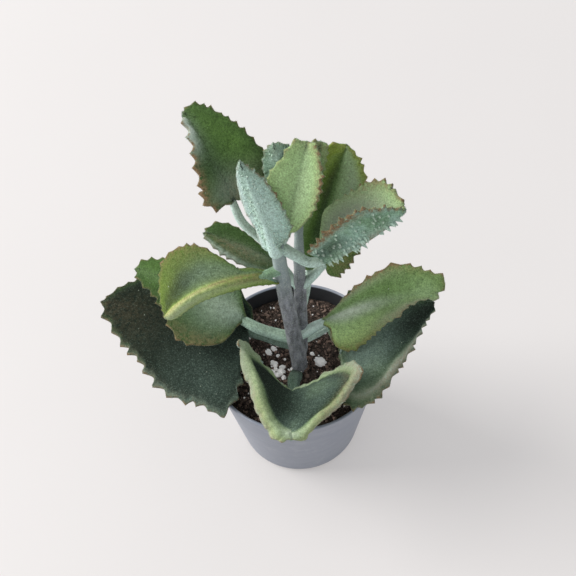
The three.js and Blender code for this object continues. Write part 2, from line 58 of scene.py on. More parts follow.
# ---- leaves ---------------------------------------------------------------------------------
# root is where the stalk leaves the stem, base where the blade begins and tip its end. bend arches
# the midrib and face is the heading of a steep blade, in degrees. stalk is the radius of the stalk
# and crumple the depth of the dents along the margin.
# left and right are the halves as seen along the blade from base to tip. edge lists points of the
# margin in the flat blade, as (along the midrib, out from it). fold is the rise of a half at the
# midrib, a pair where it changes from base to tip, and valley the width over which it sets in. curl
# is the turn from midrib to margin and rim a further turn of the outermost rim_width, which comes in
# between the two shares of the margin in rim_rows. pitch and teeth are the spacing and depth of the
# teeth, bare the share of the margin, from the base, that has none, and ripple the height of waves
# in the margin.
# deep runs from -1, pale green, to 1, the darkest, and beyond. Besides the green of old and young leaves
# it holds painted shade, where positive values darken valleys and faces under other leaves, and painted
# light, where negative ones pale faces that catch the lamp. sun, light_rim and felt_rim yellow, lighten
# and felt the margin over a width of brim; light_rim is partly painted light on rims that catch the lamp.
# sun above 1 is a painted highlight on lit crests and lobes, and bloom above 1 whitens the felt, partly
# as painted light on a rolled margin that faces the lamp. stalk_felt and stalk_deep felt and darken the
# stalk. washes tint a place on the blade: (along, across, length, width, strength), with along and
# across as shares, and across negative on the right half. fangs are (count, length, half, from, to):
# outgrowths of the underside between two shares of the way from midrib to margin. What a leaf or a
# half doesn't name is as in PLAIN_LEAF and PLAIN_HALF.
LEAVES = {
    "leaf_upper_left": dict(
        root=(-5, 1, 179), base=(-26, 13, 208), tip=(-47, 43.5, 239.2), bend=30, stalk=2.3, deep=0.45,
        left=dict(fold=40, curl=-70, pitch=7, teeth=2.6, edge=[(-1, 6), (4, 15), (14, 13), (25, 10),
            (36, 5), (46, 2.5)]),
        right=dict(fold=15, curl=-10, pitch=5.2, teeth=1.7, bare=0.3, edge=[(-4, 12), (6, 25), (20, 23),
            (40, 15), (50, 7)]),
        # The bloom wash of 1.9 is painted light: it whitens the rolled left margin where its underside
        # faces the lamp.
        washes=dict(bloom=[(0.8, 0.9, 0.25, 0.7, 1.9), (0.05, 0, 0.25, 0.8, 0.7)],
            rust=[(0.25, 0.95, 0.4, 0.25, 1.1), (0, -0.3, 0.22, 0.8, 0.6), (0.4, 1, 0.5, 0.12, 1)],
            deep=[(0.6, -0.6, 0.5, 0.4, -0.4)]),
        fangs=[(22, 1.1, 1, 0.3, 0.9), (26, 1.3, -1, 0.3, 0.9)]),
    "leaf_upper_right": dict(
        root=(-4, 0, 184), base=(18, -6, 181), tip=(57, -4, 211), bend=-30, stalk=2.9, deep=-1, sun=0.1,
        stalk_felt=0.9,
        left=dict(fold=35, curl=-10, pitch=5.4, teeth=2.1, bare=0.3, edge=[(-1, 8), (2, 15), (8, 23),
            (20, 24.5), (30, 23.5), (41, 22.5), (48, 18), (51, 9)]),
        right=dict(fold=105, curl=-20, pitch=5.6, teeth=2.8, edge=[(-7, 8), (1, 14), (14, 19), (28, 20),
            (38, 17), (47, 8)]),
        washes=dict(bloom=[(0.4, 0.5, 0.5, 0.5, 1.1), (0.6, 0.2, 0.5, 0.4, 0.5)],
            deep=[(0, -0.6, 0.5, 0.5, 1), (0.15, -0.3, 0.4, 0.5, 1.2), (0.5, 0.5, 0.6, 0.5, -0.6)],
            rust=[(0.2, -0.95, 0.5, 0.2, 1.3), (0.6, -0.97, 0.6, 0.12, 1), (0.5, 0.5, 0.6, 0.6, 0.3),
            (0.55, -0.02, 0.5, 0.12, 0.9), (0.85, 0.95, 0.3, 0.16, 0.8)],
            sun=[(0.3, 0.4, 0.4, 0.5, 0.2)]),
        fangs=[(14, 1.3, 1, 0.3, 0.9), (38, 2, -1, 0.1, 0.85), (26, 2.8, -1, 0, 0.15)]),
    "leaf_crown_front": dict(
        root=(-6, -3, 184), base=(-8, -6, 192), tip=(-20, 10, 237), bend=20, face=270, stalk=3, deep=-0.6,
        left=dict(fold=20, curl=-20, pitch=4.5, teeth=1.2, edge=[(0, 6), (6, 12), (20, 11), (34, 8),
            (46, 2)]),
        right=dict(fold=30, curl=-40, pitch=6, teeth=0.5, edge=[(0, 5), (12, 5.5), (24, 7), (40, 5),
            (48, 1.5)]),
        washes=dict(bloom=[(0.45, -1, 0.9, 0.5, 1.5), (0.4, 0.2, 0.8, 0.9, 0.85)],
            rust=[(0.6, 1, 0.5, 0.12, 0.8)]),
        fangs=[(60, 1.1, 1, 0.05, 0.92), (44, 1.1, -1, 0.05, 0.75)]),
    "leaf_crown_back": dict(
        root=(-4, 2, 186), base=(0, 5, 193), tip=(12, 18, 238.4), bend=-10, face=80, stalk=2.8, deep=-1.1,
        sun=0.1,
        left=dict(fold=25, curl=-20, pitch=6.5, teeth=1.6, bare=0.2, edge=[(-1, 6), (12, 12), (28, 15),
            (40, 10), (49, 6)]),
        right=dict(fold=40, curl=-10, pitch=5.5, teeth=1.7, bare=0.2, edge=[(0, 6), (12, 12), (26, 14),
            (42, 11), (50, 5)]),
        washes=dict(bloom=[(0.5, -0.3, 0.5, 0.5, 0.25)], rust=[(0.7, -1, 0.5, 0.24, 1),
            (1, 0, 0.1, 1, 0.5)]),
        fangs=[(18, 1.1, 1, 0.3, 0.9), (18, 1.1, -1, 0.3, 0.9)]),
    "leaf_bud_front": dict(
        root=(6, 14, 188), base=(5, 12, 198), tip=(-4, 19, 238), face=270, stalk=1.7,
        left=dict(fold=20, pitch=4.5, teeth=1.3, edge=[(-1, 5), (12, 10), (30, 9), (39, 5)]),
        right=dict(fold=20, pitch=4.5, teeth=1.3, edge=[(-1, 5), (12, 10), (30, 9), (39, 4)]),
        washes=dict(rust=[(0.9, 0, 0.15, 0.9, 0.3)], bloom=[(0.6, 0, 0.5, 0.8, 0.5)]),
        fangs=[(22, 0.9, 1, 0.1, 0.9), (22, 0.9, -1, 0.1, 0.9)]),
    "leaf_bud_back": dict(
        root=(6, 15, 190), base=(9, 21.5, 198), tip=(19, 26, 230), face=90, stalk=1.7, deep=-0.8, sun=0.1,
        left=dict(fold=15, pitch=4.5, teeth=1.3, edge=[(-1, 5), (12, 9), (28, 8), (34, 4)]),
        right=dict(fold=20, pitch=4.5, teeth=1.3, edge=[(-1, 4), (12, 6), (28, 5), (34, 3)]),
        washes=dict(rust=[(0.9, 0, 0.2, 0.9, 0.9)], deep=[(0.3, 0, 0.3, 1, 1.2)]),
        fangs=[(12, 0.9, 1, 0.2, 0.9), (12, 0.9, -1, 0.2, 0.9)]),
    "leaf_shoot_back": dict(
        root=(5, 7, 120), base=(12, 19, 141), tip=(32, 30, 223), bend=-10, face=80, stalk=2.7, deep=-0.7,
        sun=0.15,
        left=dict(fold=25, curl=-10, pitch=6, teeth=1.8, bare=0.3, edge=[(0, 7), (10, 11), (22, 15),
            (50, 17), (70, 18), (81, 13), (86, 8)]),
        right=dict(fold=20, curl=-10, pitch=6, teeth=1.8, bare=0.3, edge=[(0, 5), (12, 8), (32, 9),
            (54, 14), (68, 15), (79, 9), (84, 3)]),
        # The deep wash of 1.6 is painted shade in the valley of the left half; the leaf's deep of -0.7
        # and the wash of -0.8 on the right half are partly painted light, paling a leaf that other leaves
        # shade from the lamp.
        washes=dict(sun=[(1, 0.75, 0.5, 0.6, 1), (0.75, -1, 0.5, 0.3, 1)],
            bloom=[(0.7, -0.6, 0.3, 0.35, 0.6)], deep=[(0.7, 0.2, 0.45, 0.3, 1.6),
            (0.8, -0.6, 0.4, 0.5, -0.8), (0.2, 0, 0.3, 0.8, 1)]),
        fangs=[(24, 1.2, 1, 0.3, 0.9), (24, 1.2, -1, 0.3, 0.9)]),
    "leaf_shoot_left": dict(
        root=(4, 9, 138), base=(-10, 19, 150), tip=(-46, 30, 164), bend=20, stalk=2.6, deep=0.45,
        left=dict(fold=30, curl=-60, pitch=6, teeth=1.6, edge=[(-3, 6), (6, 11), (16, 12), (30, 9),
            (38, 4)]),
        right=dict(fold=25, curl=-20, pitch=5.5, teeth=1.5, bare=0.3, edge=[(-1, 4), (9, 6), (26, 10),
            (36, 8)]),
        washes=dict(rust=[(0.5, 0.4, 0.6, 0.5, 0.6)], bloom=[(0.3, 0.3, 0.5, 0.5, 0.3),
            (0.6, 0.92, 0.5, 0.16, 1.3)]),
        fangs=[(14, 1.1, 1, 0.3, 0.9), (14, 1.1, -1, 0.3, 0.9)]),
    "leaf_shoot_right": dict(
        root=(6, 9, 138), base=(21, 11, 158), tip=(41, 7, 180), bend=20, stalk=2.6, deep=0.25,
        left=dict(fold=20, curl=-30, edge=[(0, 6), (8, 9), (20, 8)]),
        right=dict(fold=-30, curl=-30, pitch=5.5, teeth=2, edge=[(-5, 6), (-4, 10), (8, 11), (18, 8),
            (26, 4)]),
        washes=dict(rust=[(0.4, -0.5, 0.6, 0.6, 0.6)]),
        fangs=[(10, 1.1, 1, 0.3, 0.9), (10, 1.1, -1, 0.3, 0.9)]),
    "leaf_middle_left": dict(
        root=(-6, -2, 168), base=(-15, -4, 168), tip=(-70, -6, 137), bend=60, stalk=2.8, deep=0.4,
        sun=0.06, stalk_felt=0.1, stalk_deep=0.15,
        left=dict(fold=-80, curl=-15, pitch=4.5, teeth=0.8, edge=[(-10, 7), (4, 8), (24, 8.5), (41, 7),
            (52, 6.5), (62, 5)]),
        right=dict(fold=37, curl=-10, pitch=5, teeth=1.5, bare=0.3, edge=[(5, 4.5), (13, 6), (19, 13),
            (27, 22), (38, 26.5), (48, 25), (58, 15)]),
        # The sun, bloom and deep washes on the rolled strip of the left half are partly painted light on
        # a strip that the lamp leaves in shade; the sun washes at across 0.06 and 0.1 paint a highlight
        # along the lit crest and its end.
        washes=dict(sun=[(0.7, 0.5, 0.9, 0.5, 0.9), (0.95, 0.1, 0.25, 0.4, 1),
            (0.65, 0.06, 0.6, 0.12, 1.6), (0.75, -0.7, 0.5, 0.5, 0.35)],
            deep=[(0.8, 0.5, 0.9, 0.42, -2.2), (0.75, -0.35, 0.4, 0.35, 0.8)],
            bloom=[(0.85, 0.5, 0.6, 0.45, 0.6), (0.4, -0.3, 0.35, 0.4, 0.3)],
            rust=[(0.45, -0.9, 0.3, 0.3, 0.35), (0.1, 0.2, 0.3, 0.35, 0.6), (0.65, -1, 0.35, 0.1, 0.8),
            (0.35, 0.03, 0.4, 0.05, 0.7)]),
        fangs=[(8, 1, 1, 0.3, 0.9), (26, 1.3, -1, 0.3, 0.9)]),
    "leaf_lower_left": dict(
        root=(-2, -2, 103), base=(-30, 8, 112), tip=(-92, 42, 122), bend=20, stalk=3.4, deep=0.45,
        stalk_felt=0.5,
        left=dict(fold=-10, curl=-10, pitch=8, teeth=2.2, bare=0.3, edge=[(-1, 6), (2, 19), (16, 28),
            (28, 28), (51, 12), (64, 7)]),
        right=dict(fold=20, pitch=7, teeth=1.8, bare=0.3, edge=[(1, 6), (5, 11), (14, 22), (40, 20),
            (61, 11), (70, 6)]),
        washes=dict(bloom=[(0.1, 0, 0.4, 0.6, 0.8)], deep=[(0.9, 0, 0.4, 1, -0.35),
            (0.5, 0.7, 0.5, 0.5, 0.2)], rust=[(0.2, 0.95, 0.4, 0.3, 0.6)]),
        fangs=[(26, 1.3, 1, 0.3, 0.9), (26, 1.3, -1, 0.3, 0.9)]),
    "leaf_lower_right": dict(
        root=(0, -2, 103), base=(19, 2, 112), tip=(81.8, 3, 129.7), bend=30, stalk=3.2, crumple=0.5,
        deep=-0.2, sun=0.1, stalk_felt=1.8,
        left=dict(fold=35, curl=-20, pitch=7, teeth=2, bare=0.15, edge=[(2, 4), (17, 10.5), (35, 18),
            (48, 20), (61, 14), (68, 10.5), (71, 6)]),
        right=dict(fold=(-4, -90), curl=-44, pitch=5.5, teeth=1.7, bare=0.1, ripple=1.8, edge=[(1, 7),
            (-1, 13), (2, 20), (9, 23), (26, 18), (42, 11), (50, 5), (60, 3), (67, 4)]),
        washes=dict(bloom=[(0.2, 0, 0.4, 0.22, 1), (0.3, 0.8, 0.35, 0.3, 0.4),
            (0.7, -0.8, 0.4, 0.4, 0.6)], sun=[(0.2, -0.8, 0.4, 0.5, 0.5)],
            deep=[(0.1, -0.6, 0.4, 0.5, -0.7), (0.95, 0, 0.25, 0.9, -0.6)],
            rust=[(0.35, 0.95, 0.45, 0.3, 0.9), (0.1, -0.95, 0.3, 0.2, 0.8), (0.5, 1, 0.5, 0.12, 1),
            (0.7, -0.9, 0.35, 0.4, 0.7)]),
        fangs=[(26, 1.3, 1, 0.3, 0.9), (26, 1.3, -1, 0.3, 0.9)]),
    "leaf_base_front": dict(
        root=(0, -5, 69), base=(-3, -31, 91), tip=(-6, -64.1, 96.5), bend=20, stalk=3.9, crumple=1.1,
        # deep of 1.4 is partly painted shade in the curled valley; light_rim, sun and felt_rim pale the
        # rolled rims partly as painted light where they catch the lamp.
        deep=1.4, sun=0.3, light_rim=1.7, felt_rim=0.45, stalk_deep=0.9,
        left=dict(fold=16, curl=40, rim=-115, rim_width=4, rim_rows=(0.44, 0.54), valley=9, brim=9,
            pitch=9, teeth=1.2, edge=[(-4, 8), (-6, 22), (-2, 38), (7, 47), (12, 42), (18, 33), (22, 23),
            (29, 14), (34, 8)]),
        right=dict(fold=30, curl=30, rim=-105, rim_width=7.5, rim_rows=(0.42, 0.54), valley=9, brim=13,
            pitch=9, teeth=1.2, edge=[(-4, 8), (-8, 18), (-13, 31), (-9, 43), (-4, 37), (3, 32), (14, 28),
            (22, 23), (29, 17), (34, 9)]),
        washes=dict(bloom=[(0.4, 1, 0.9, 0.1, 0.7), (0.4, -1, 0.9, 0.14, 0.7), (0.1, 0.4, 0.5, 0.5, 0.3),
            (0.95, 0, 0.4, 0.6, 0.4)], deep=[(0.1, 0.4, 0.5, 0.5, -0.6), (0.9, 0, 0.4, 0.6, -0.6)],
            sun=[(0.8, -0.8, 0.5, 0.2, 0.5), (0.9, 0.8, 0.5, 0.2, 0.4)],
            rust=[(0.6, -0.85, 0.6, 0.15, 0.45), (0.5, 0.85, 0.6, 0.15, 0.6),
            (0.4, 0.97, 0.6, 0.06, 0.55), (0.4, -0.97, 0.6, 0.1, 0.5)]),
        fangs=[(30, 1.3, 1, 0.2, 0.95), (30, 1.3, -1, 0.2, 0.95)]),
    "leaf_base_left": dict(
        root=(1, 0, 92), base=(-28, 13, 92), tip=(-116.4, 35, 101), bend=20, stalk=3.8, deep=1.5,
        stalk_deep=0.8, light_rim=0.6,
        left=dict(fold=-2, curl=-10, pitch=9.5, teeth=3.4, ripple=1.6, edge=[(-4, 16), (-3, 30), (-3, 46),
            (1, 57), (16, 54), (32, 54), (45, 46), (60, 34), (76, 21), (88, 6)]),
        right=dict(fold=20, curl=-10, pitch=8, teeth=2.4, edge=[(-2, 9), (7, 20), (33, 27), (61, 22),
            (82, 11)]),
        washes=dict(bloom=[(0.15, 0.7, 0.35, 0.5, 0.35), (0.4, 1, 0.7, 0.08, 0.35)],
            rust=[(0.95, 0.2, 0.45, 0.9, 0.3), (0.4, 1, 0.6, 0.1, 0.3)]),
        fangs=[(44, 1.3, 1, 0.2, 0.95), (30, 1.3, -1, 0.2, 0.95)]),
    "leaf_base_right": dict(
        root=(4, 3, 94), base=(29, 12, 96), tip=(84, 14, 105), bend=20, stalk=3.6, deep=0.9,
        left=dict(fold=15, curl=-10, edge=[(-2, 9), (14, 19), (38, 17), (52, 7)]),
        right=dict(fold=-4, curl=12, rim=-75, rim_width=6, rim_rows=(0.54, 0.6), pitch=6.5, teeth=2.6,
            edge=[(-3, 12), (-5, 28), (-5, 48), (-2, 60), (8, 60), (16, 55), (21, 49), (25, 44), (31, 38),
            (40, 26), (47, 16), (54, 7)]),
        # The deep wash at along 0.85 on the right half is a painted shadow that leaf_lower_right casts on
        # this face.
        washes=dict(bloom=[(0.15, -0.4, 0.45, 0.5, 0.65), (0.5, -0.88, 0.7, 0.06, 1.3),
            (0.6, -1, 0.6, 0.07, 0.5)], deep=[(0.85, -0.45, 0.35, 0.3, 0.9),
            (0.5, -0.88, 0.7, 0.06, -0.9), (0.1, -0.9, 0.4, 0.3, -0.4)],
            rust=[(0.5, -0.88, 0.6, 0.06, 0.7), (0.6, -1, 0.5, 0.09, 0.9)]),
        fangs=[(20, 1.3, 1, 0.2, 0.9), (60, 1.9, -1, 0.5, 0.97)]),
}

PLAIN_LEAF = dict(bend=0, crumple=0, deep=0, sun=0, light_rim=0, felt_rim=0, stalk_felt=1, stalk_deep=0)
PLAIN_HALF = dict(curl=0, valley=2.5, rim=0, rim_width=4, rim_rows=(-1, 0), brim=4, pitch=6.4,
                  teeth=1.8, bare=0.03, ripple=0.9)

BLADE_MIDDLE = 3.0
BLADE_EDGE = 1.7
NECK = 2.6
ROWS_PER_MM = 1.7
ROW_LIMITS = (110, 250)
OUTER_RING = (0, 0.2, 0.5, 1.0, 1.8, 3.0, 4.4)
INNER_COLUMNS = 22
WALK_STEPS = 96
TOOTH_SPREAD = (0.6, 1.4)
TOOTH_HEIGHTS = (0.45, 1.25)
TOOTH_VALLEY = 0.58
TOOTH_REACH = 2.2
TOOTH_LEAN = 0.4
TOOTH_SINK = 0.3
TOOTH_FADE = 1.6
FOLD_START = 0.3
RIM_TURN = 1.6
RIM_MOST = 0.45
WAVE_LENGTH = 17
DENT_SIZE = 13
DENT_DEPTH = 0.35
CRUMPLE_SIZE = 3.8
VEIN_PITCH = 11
VEIN_SLANT = 0.6
VEIN_WIDTH = 0.09
VEIN_DEPTH = (0.16, 0.2)
CREASE_DEPTH = 0.2
CREASE_WIDTH = 2.2
FANG_RISE = (-0.35, 0.1, 0.45, 0.75, 0.94)
FANG_WIDE = (1.25, 1.0, 0.62, 0.38, 0.16)
FANG_SIDES = 7
STALK_SIDES = 24
STALK_ROWS = 56
HAIR_LENGTH = (0.3, 0.7)
HAIR_RADIUS = 0.05
HAIR_LEAN = 0.35
HAIR_TONE = 0.5
LEAF_HAIRS = 4200
STALK_HAIRS = 700
STEM_HAIRS = 2600

# ---- stems, pot and soil --------------------------------------------------------------------
# A stem swells at the heights of STEM_NODES, where leaves leave it, and has rings at STEM_SCARS.
# Its bark turns young and pale between the heights of YOUNG_STEM, in metres.
STEMS = [
    dict(line=[(2.3, -5.4, 60), (1.6, -4.6, 84), (-1, -3, 115), (-4, -1.2, 152), (-5.8, -0.6, 187)],
         radii=(5, 4.7, 4.4, 4.1, 3.4)),
    dict(line=[(2.3, -4, 82), (3.8, 2, 98), (4.8, 8, 130), (5.4, 12.4, 162), (6.5, 15.5, 197)],
         radii=(3.8, 4, 3.6, 2.8, 1.5)),
]
STEM_NODES = (91, 103, 138, 158, 181)
STEM_SCARS = (79.5, 86, 97, 121)
YOUNG_STEM = (0.135, 0.178)
RIM_RADIUS = 52.5
POT_HEIGHT = 83.0
FOOT_RADIUS = 38.5
WALL = 1.6
POT_FLOOR = 2.4
COLLAR_HEIGHT = 9.0
COLLAR_STEP = 1.0
WALL_SLOPE = (RIM_RADIUS - COLLAR_STEP - FOOT_RADIUS) / POT_HEIGHT
HUB_RADIUS = 14.0
DRAIN_RADIUS = 3.5
DRAIN_CIRCLE = 22.5
DRAINS = 5
SOIL_TOP = 75.0
SOIL_SIDES = 200
SOIL_ROWS = 84
SOIL_CENTRE = 0.02
GAP = 0.3
FLOOR_HALF = 3.0
# The larger perlite grains as (x, y, radius).
PERLITE = [(14.3, -4.1, 4.3), (10.2, 2.6, 1.8), (-10, 11.9, 2.3), (-13.1, 8.1, 2.1), (-16.4, 5.8, 2.3),
           (-12.8, -3.2, 2.3), (-9.3, -8.6, 2.4), (-14.6, -8.4, 2.2), (-10.8, 3.4, 1.7),
           (-8.2, -12.6, 2), (-14.5, -1.1, 1.9), (-8.5, -5.4, 2.5), (-12.6, -6, 1.6),
           (-11.4, -10.3, 2.6), (-2.8, -7.1, 1.3), (2.5, -8.9, 1.3), (0, -9.4, 0.9),
           (-29.8, -12.5, 1.6), (-6.8, 0.3, 1), (22.4, -12.7, 1.9)]


# ---- numpy helpers --------------------------------------------------------------------------
def unit(vectors):
    """Each vector divided by its length."""
    return vectors / np.maximum(np.linalg.norm(vectors, axis=-1, keepdims=True), 1e-9)


def blend(low, high, value):
    """0 below low, 1 above high and an even curve, 3t squared less 2t cubed, between them."""
    t = np.clip((value - low) / (high - low), 0, 1)
    return t * t * (3 - 2 * t)


def noise(points, seed=0):
    """Smooth noise from -1 to 1: a scrambled whole number at each corner of a cubic grid of step 1,
    mixed by the smoothed distances of the point to the eight corners of its cell."""
    cell = np.floor(points).astype(np.int64)
    within = points - cell
    within = within * within * (3 - 2 * within)
    total = 0
    for corner in np.ndindex(2, 2, 2):
        x, y, z = (cell[..., k] + corner[k] for k in range(3))
        n = (x * 73856093) ^ (y * 19349663) ^ (z * 83492791) ^ (seed * 2654435761)
        n = (n ^ (n >> 13)) * 1274126177 & 0x7FFFFFFF
        value = ((n ^ (n >> 16)) & 0xFFFF) / 32767.5 - 1
        weight = 1
        for k in range(3):
            weight = weight * (within[..., k] if corner[k] else 1 - within[..., k])
        total = total + weight * value
    return total


def rough(points, size, seed=0, layers=3):
    """Noise of a given size in millimetres with finer and weaker layers, each half the size."""
    return sum(noise(points / size * 2 ** k, seed + k) / 2 ** k for k in range(layers))


def circle(sides, shift=0):
    """Points on a circle of radius 1 as (sides, 2), the first turned on by shift of a step."""
    angle = (np.arange(sides) + shift) * 2 * math.pi / sides
    return np.stack([np.cos(angle), np.sin(angle)], 1)


def whole_length(line):
    """Length of a line of points."""
    return np.linalg.norm(np.diff(line, axis=0), axis=1).sum()


def smooth_line(points, dense=40):
    """Centripetal Catmull-Rom line through points, dense samples to each stretch, with end points
    mirrored: knots are apart by the square root of the distances."""
    p = np.asarray(points, float)
    p = np.vstack([2 * p[0] - p[1], p, 2 * p[-1] - p[-2]])
    gaps = np.sqrt(np.maximum(np.linalg.norm(np.diff(p, axis=0), axis=1), 1e-6))[:, None, None]
    before, start, end, after = (p[k:len(p) - 3 + k][:, None, :] for k in range(4))
    d0, d1, d2 = gaps[:-2], gaps[1:-1], gaps[2:]
    leave = ((start - before) / d0 - (end - before) / (d0 + d1) + (end - start) / d1) * d1
    arrive = ((end - start) / d1 - (after - start) / (d1 + d2) + (after - end) / d2) * d1
    t = np.linspace(0, 1, dense, endpoint=False)[None, :, None]
    line = (start + leave * t + (-3 * start + 3 * end - 2 * leave - arrive) * t ** 2
            + (2 * start - 2 * end + leave + arrive) * t ** 3)
    return np.vstack([line.reshape(-1, p.shape[1]), p[-2]])


def evenly(line, shares):
    """Points of a dense line at shares of its length."""
    steps = np.linalg.norm(np.diff(line, axis=0), axis=1)
    run = np.concatenate([[0], np.cumsum(steps)])
    return np.stack([np.interp(shares * run[-1], run, line[:, k]) for k in range(line.shape[1])], 1)


def sweep(line, radii, sides, rows, side_hint, groove=0.0):
    """Rings of a tube round a smooth line. The radius runs through radii, and a groove, as a share
    of the radius, is pressed in along the side that faces up."""
    shares = np.linspace(0, 1, rows)
    dense = smooth_line(line)
    centre = evenly(dense, shares)
    steps = np.linalg.norm(np.diff(dense, axis=0), axis=1)
    run = np.concatenate([[0], np.cumsum(steps)]) / steps.sum()
    stretch = np.interp(shares, run, np.linspace(0, 1, len(dense)))
    radius = np.interp(stretch, np.linspace(0, 1, len(radii)), radii)
    along = unit(np.gradient(centre, axis=0))
    across = unit(side_hint - along * (along @ side_hint)[:, None])
    up = np.cross(along, across)
    angle = np.arange(sides) * 2 * math.pi / sides
    facing = np.angle(np.exp(1j * (angle - math.pi / 2)))
    reach = radius[:, None] * (1 - groove * np.exp(-(facing / 0.5) ** 2))
    return (centre[:, None, :] + (reach * np.cos(angle))[..., None] * across[:, None, :]
            + (reach * np.sin(angle))[..., None] * up[:, None, :])


class Mesh:
    """Points and faces of one piece, gathered surface by surface. marks names the numbers that each
    point carries for the material: a row of points is its place with those numbers behind it."""

    def __init__(self, *marks):
        self.marks = marks
        self.points, self.quads, self.triangles = [], [], []
        self.count = 0

    def skin(self, points, **marks):
        """Points with their marks behind them; a mark that isn't named is 0."""
        values = [np.broadcast_to(marks.get(name, 0), points.shape[:-1]) for name in self.marks]
        return np.stack([*np.moveaxis(points, -1, 0), *values], -1)

    def add(self, points, triangles, quads=()):
        """Adds a surface, whose faces count from its own first point."""
        self.points.append(points)
        self.quads.append(np.asarray(quads, int).reshape(-1, 4) + self.count)
        self.triangles.append(triangles.reshape(-1, 3) + self.count)
        self.count += len(points)

    def tube(self, rings):
        """A closed tube through rings of points (rows, sides, numbers): a quad between each two
        neighbours on two rings, and a fan over each end."""
        rows, sides, width = rings.shape
        row = np.arange(rows - 1)[:, None] * sides
        side = np.arange(sides)
        on = (side + 1) % sides
        quads = np.stack([row + side, row + on, row + on + sides, row + side + sides], -1)
        last = (rows - 1) * sides
        fans = np.stack([np.stack([0 * side + last + sides, on, side], 1),
                         np.stack([0 * side + last + sides + 1, side + last, on + last], 1)])
        points = np.vstack([rings.reshape(-1, width), rings[0].mean(0), rings[-1].mean(0)])
        self.add(points, fans, quads)

    def build(self, name):
        """The Blender object, in metres, with its marks as attributes."""
        points = np.vstack(self.points)
        quads, triangles = np.vstack(self.quads), np.vstack(self.triangles)
        mesh = bpy.data.meshes.new(name)
        mesh.vertices.add(len(points))
        mesh.vertices.foreach_set("co", (points[:, :3] * MM).ravel())
        corners = np.concatenate([quads.ravel(), triangles.ravel()])
        mesh.loops.add(len(corners))
        mesh.loops.foreach_set("vertex_index", corners)
        sizes = np.repeat([4, 3], [len(quads), len(triangles)])
        mesh.polygons.add(len(sizes))
        mesh.polygons.foreach_set("loop_start", np.cumsum(sizes) - sizes)
        mesh.polygons.foreach_set("use_smooth", np.ones(len(sizes), bool))
        for mark, values in zip(self.marks, points[:, 3:].T):
            layer = mesh.attributes.new(mark, "FLOAT", "POINT")
            layer.data.foreach_set("value", np.ascontiguousarray(values))
        mesh.update(calc_edges=True)
        mesh.validate()
        piece = bpy.data.objects.new(name, mesh)
        bpy.context.scene.collection.objects.link(piece)
        return piece


def dress(piece, material, slot, *nodes):
    """Gives a finished piece its material and ties it to the frame."""
    piece.data.materials.append(material)
    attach(piece, "root")
    if nodes:
        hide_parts(*nodes)


# ---- the form of a leaf ---------------------------------------------------------------------
LEAF_MARKS = ("margin", "midrib", "under", "tooth", "fang", "sun", "bloom", "rust", "deep")


class Blade:
    """The frame of one leaf blade and the formula that lays the flat blade on its arched midrib."""

    def __init__(self, leaf):
        self.base = np.array(leaf["base"], float)
        chord = np.array(leaf["tip"], float) - self.base
        span = np.linalg.norm(chord)
        self.forward = chord / span
        heading = self.forward * (1, 1, 0)
        if "face" in leaf:
            turn = math.radians(leaf["face"])
            heading = np.array([math.cos(turn), math.sin(turn), 0])
        left = np.cross([0, 0, 1], heading)
        self.left = unit(left - self.forward * (left @ self.forward))
        self.up = np.cross(self.forward, self.left)
        self.bend = math.radians(leaf["bend"])
        self.length = span
        if self.bend:
            self.length = span * self.bend / 2 / math.sin(self.bend / 2)

    def at(self, along, sideways, above):
        """Point of the flat blade on the arched midrib: a circle arc of the whole turn bend, with
        above counted square to the arc."""
        run, rise, slope = along, 0 * along, 0 * along
        if self.bend:
            radius = self.length / self.bend
            slope = self.bend * (0.5 - along / self.length)
            run = (math.sin(self.bend / 2) - np.sin(slope)) * radius
            rise = (np.cos(slope) - math.cos(self.bend / 2)) * radius
        return (self.base + (run - np.sin(slope) * above)[..., None] * self.forward
                + (rise + np.cos(slope) * above)[..., None] * self.up
                + sideways[..., None] * self.left)

    def on_rib(self, along, below):
        """Point so far along the midrib and below it."""
        return self.at(np.array(along), np.array(0.0), np.array(-below))


def margin(half, length, rows, draw):
    """Margin of one half on so many rows: its points, the offset that its teeth add, their height
    from 0 to 1 and the share of each row. A tooth falls from its tip to the valley behind and the
    one ahead with the power 1.5 of what is left of the way, so tips are sharp and valleys round.
    Each tip lies on the row nearest to it."""
    line = smooth_line([(-NECK, NECK)] + half["edge"] + [(length, 0)])
    count = max(3, round(whole_length(line) / half["pitch"]))
    tips = np.concatenate([[0], np.cumsum(draw.uniform(*TOOTH_SPREAD, count))])
    tips /= tips[-1]
    heights = draw.uniform(*TOOTH_HEIGHTS, count + 1)
    heights[[0, -1]] = 0
    shares = np.interp(np.arange(rows), np.round(tips * (rows - 1)), tips)
    edge = evenly(line, shares)
    along = unit(np.gradient(evenly(line, np.linspace(0, 1, rows)), axis=0))
    outward = np.stack([-along[:, 1], along[:, 0]], 1)
    behind = np.clip(np.searchsorted(tips, shares, side="right") - 1, 0, count - 1)
    part = (shares - tips[behind]) / (tips[behind + 1] - tips[behind])
    fall = np.clip(1 - part / TOOTH_VALLEY, 0, 1) ** 1.5 * heights[behind]
    climb = np.clip((part - TOOTH_VALLEY) / (1 - TOOTH_VALLEY), 0, 1) ** 1.5 * heights[behind + 1]
    height = (fall + climb) * blend(half["bare"], half["bare"] + 0.1, shares)
    offset = (outward * ((height - TOOTH_SINK) * half["teeth"])[:, None]
              + along * (height * half["teeth"] * TOOTH_LEAN)[:, None])
    return edge, offset * blend(0, 0.05, 1 - shares)[:, None], height, shares


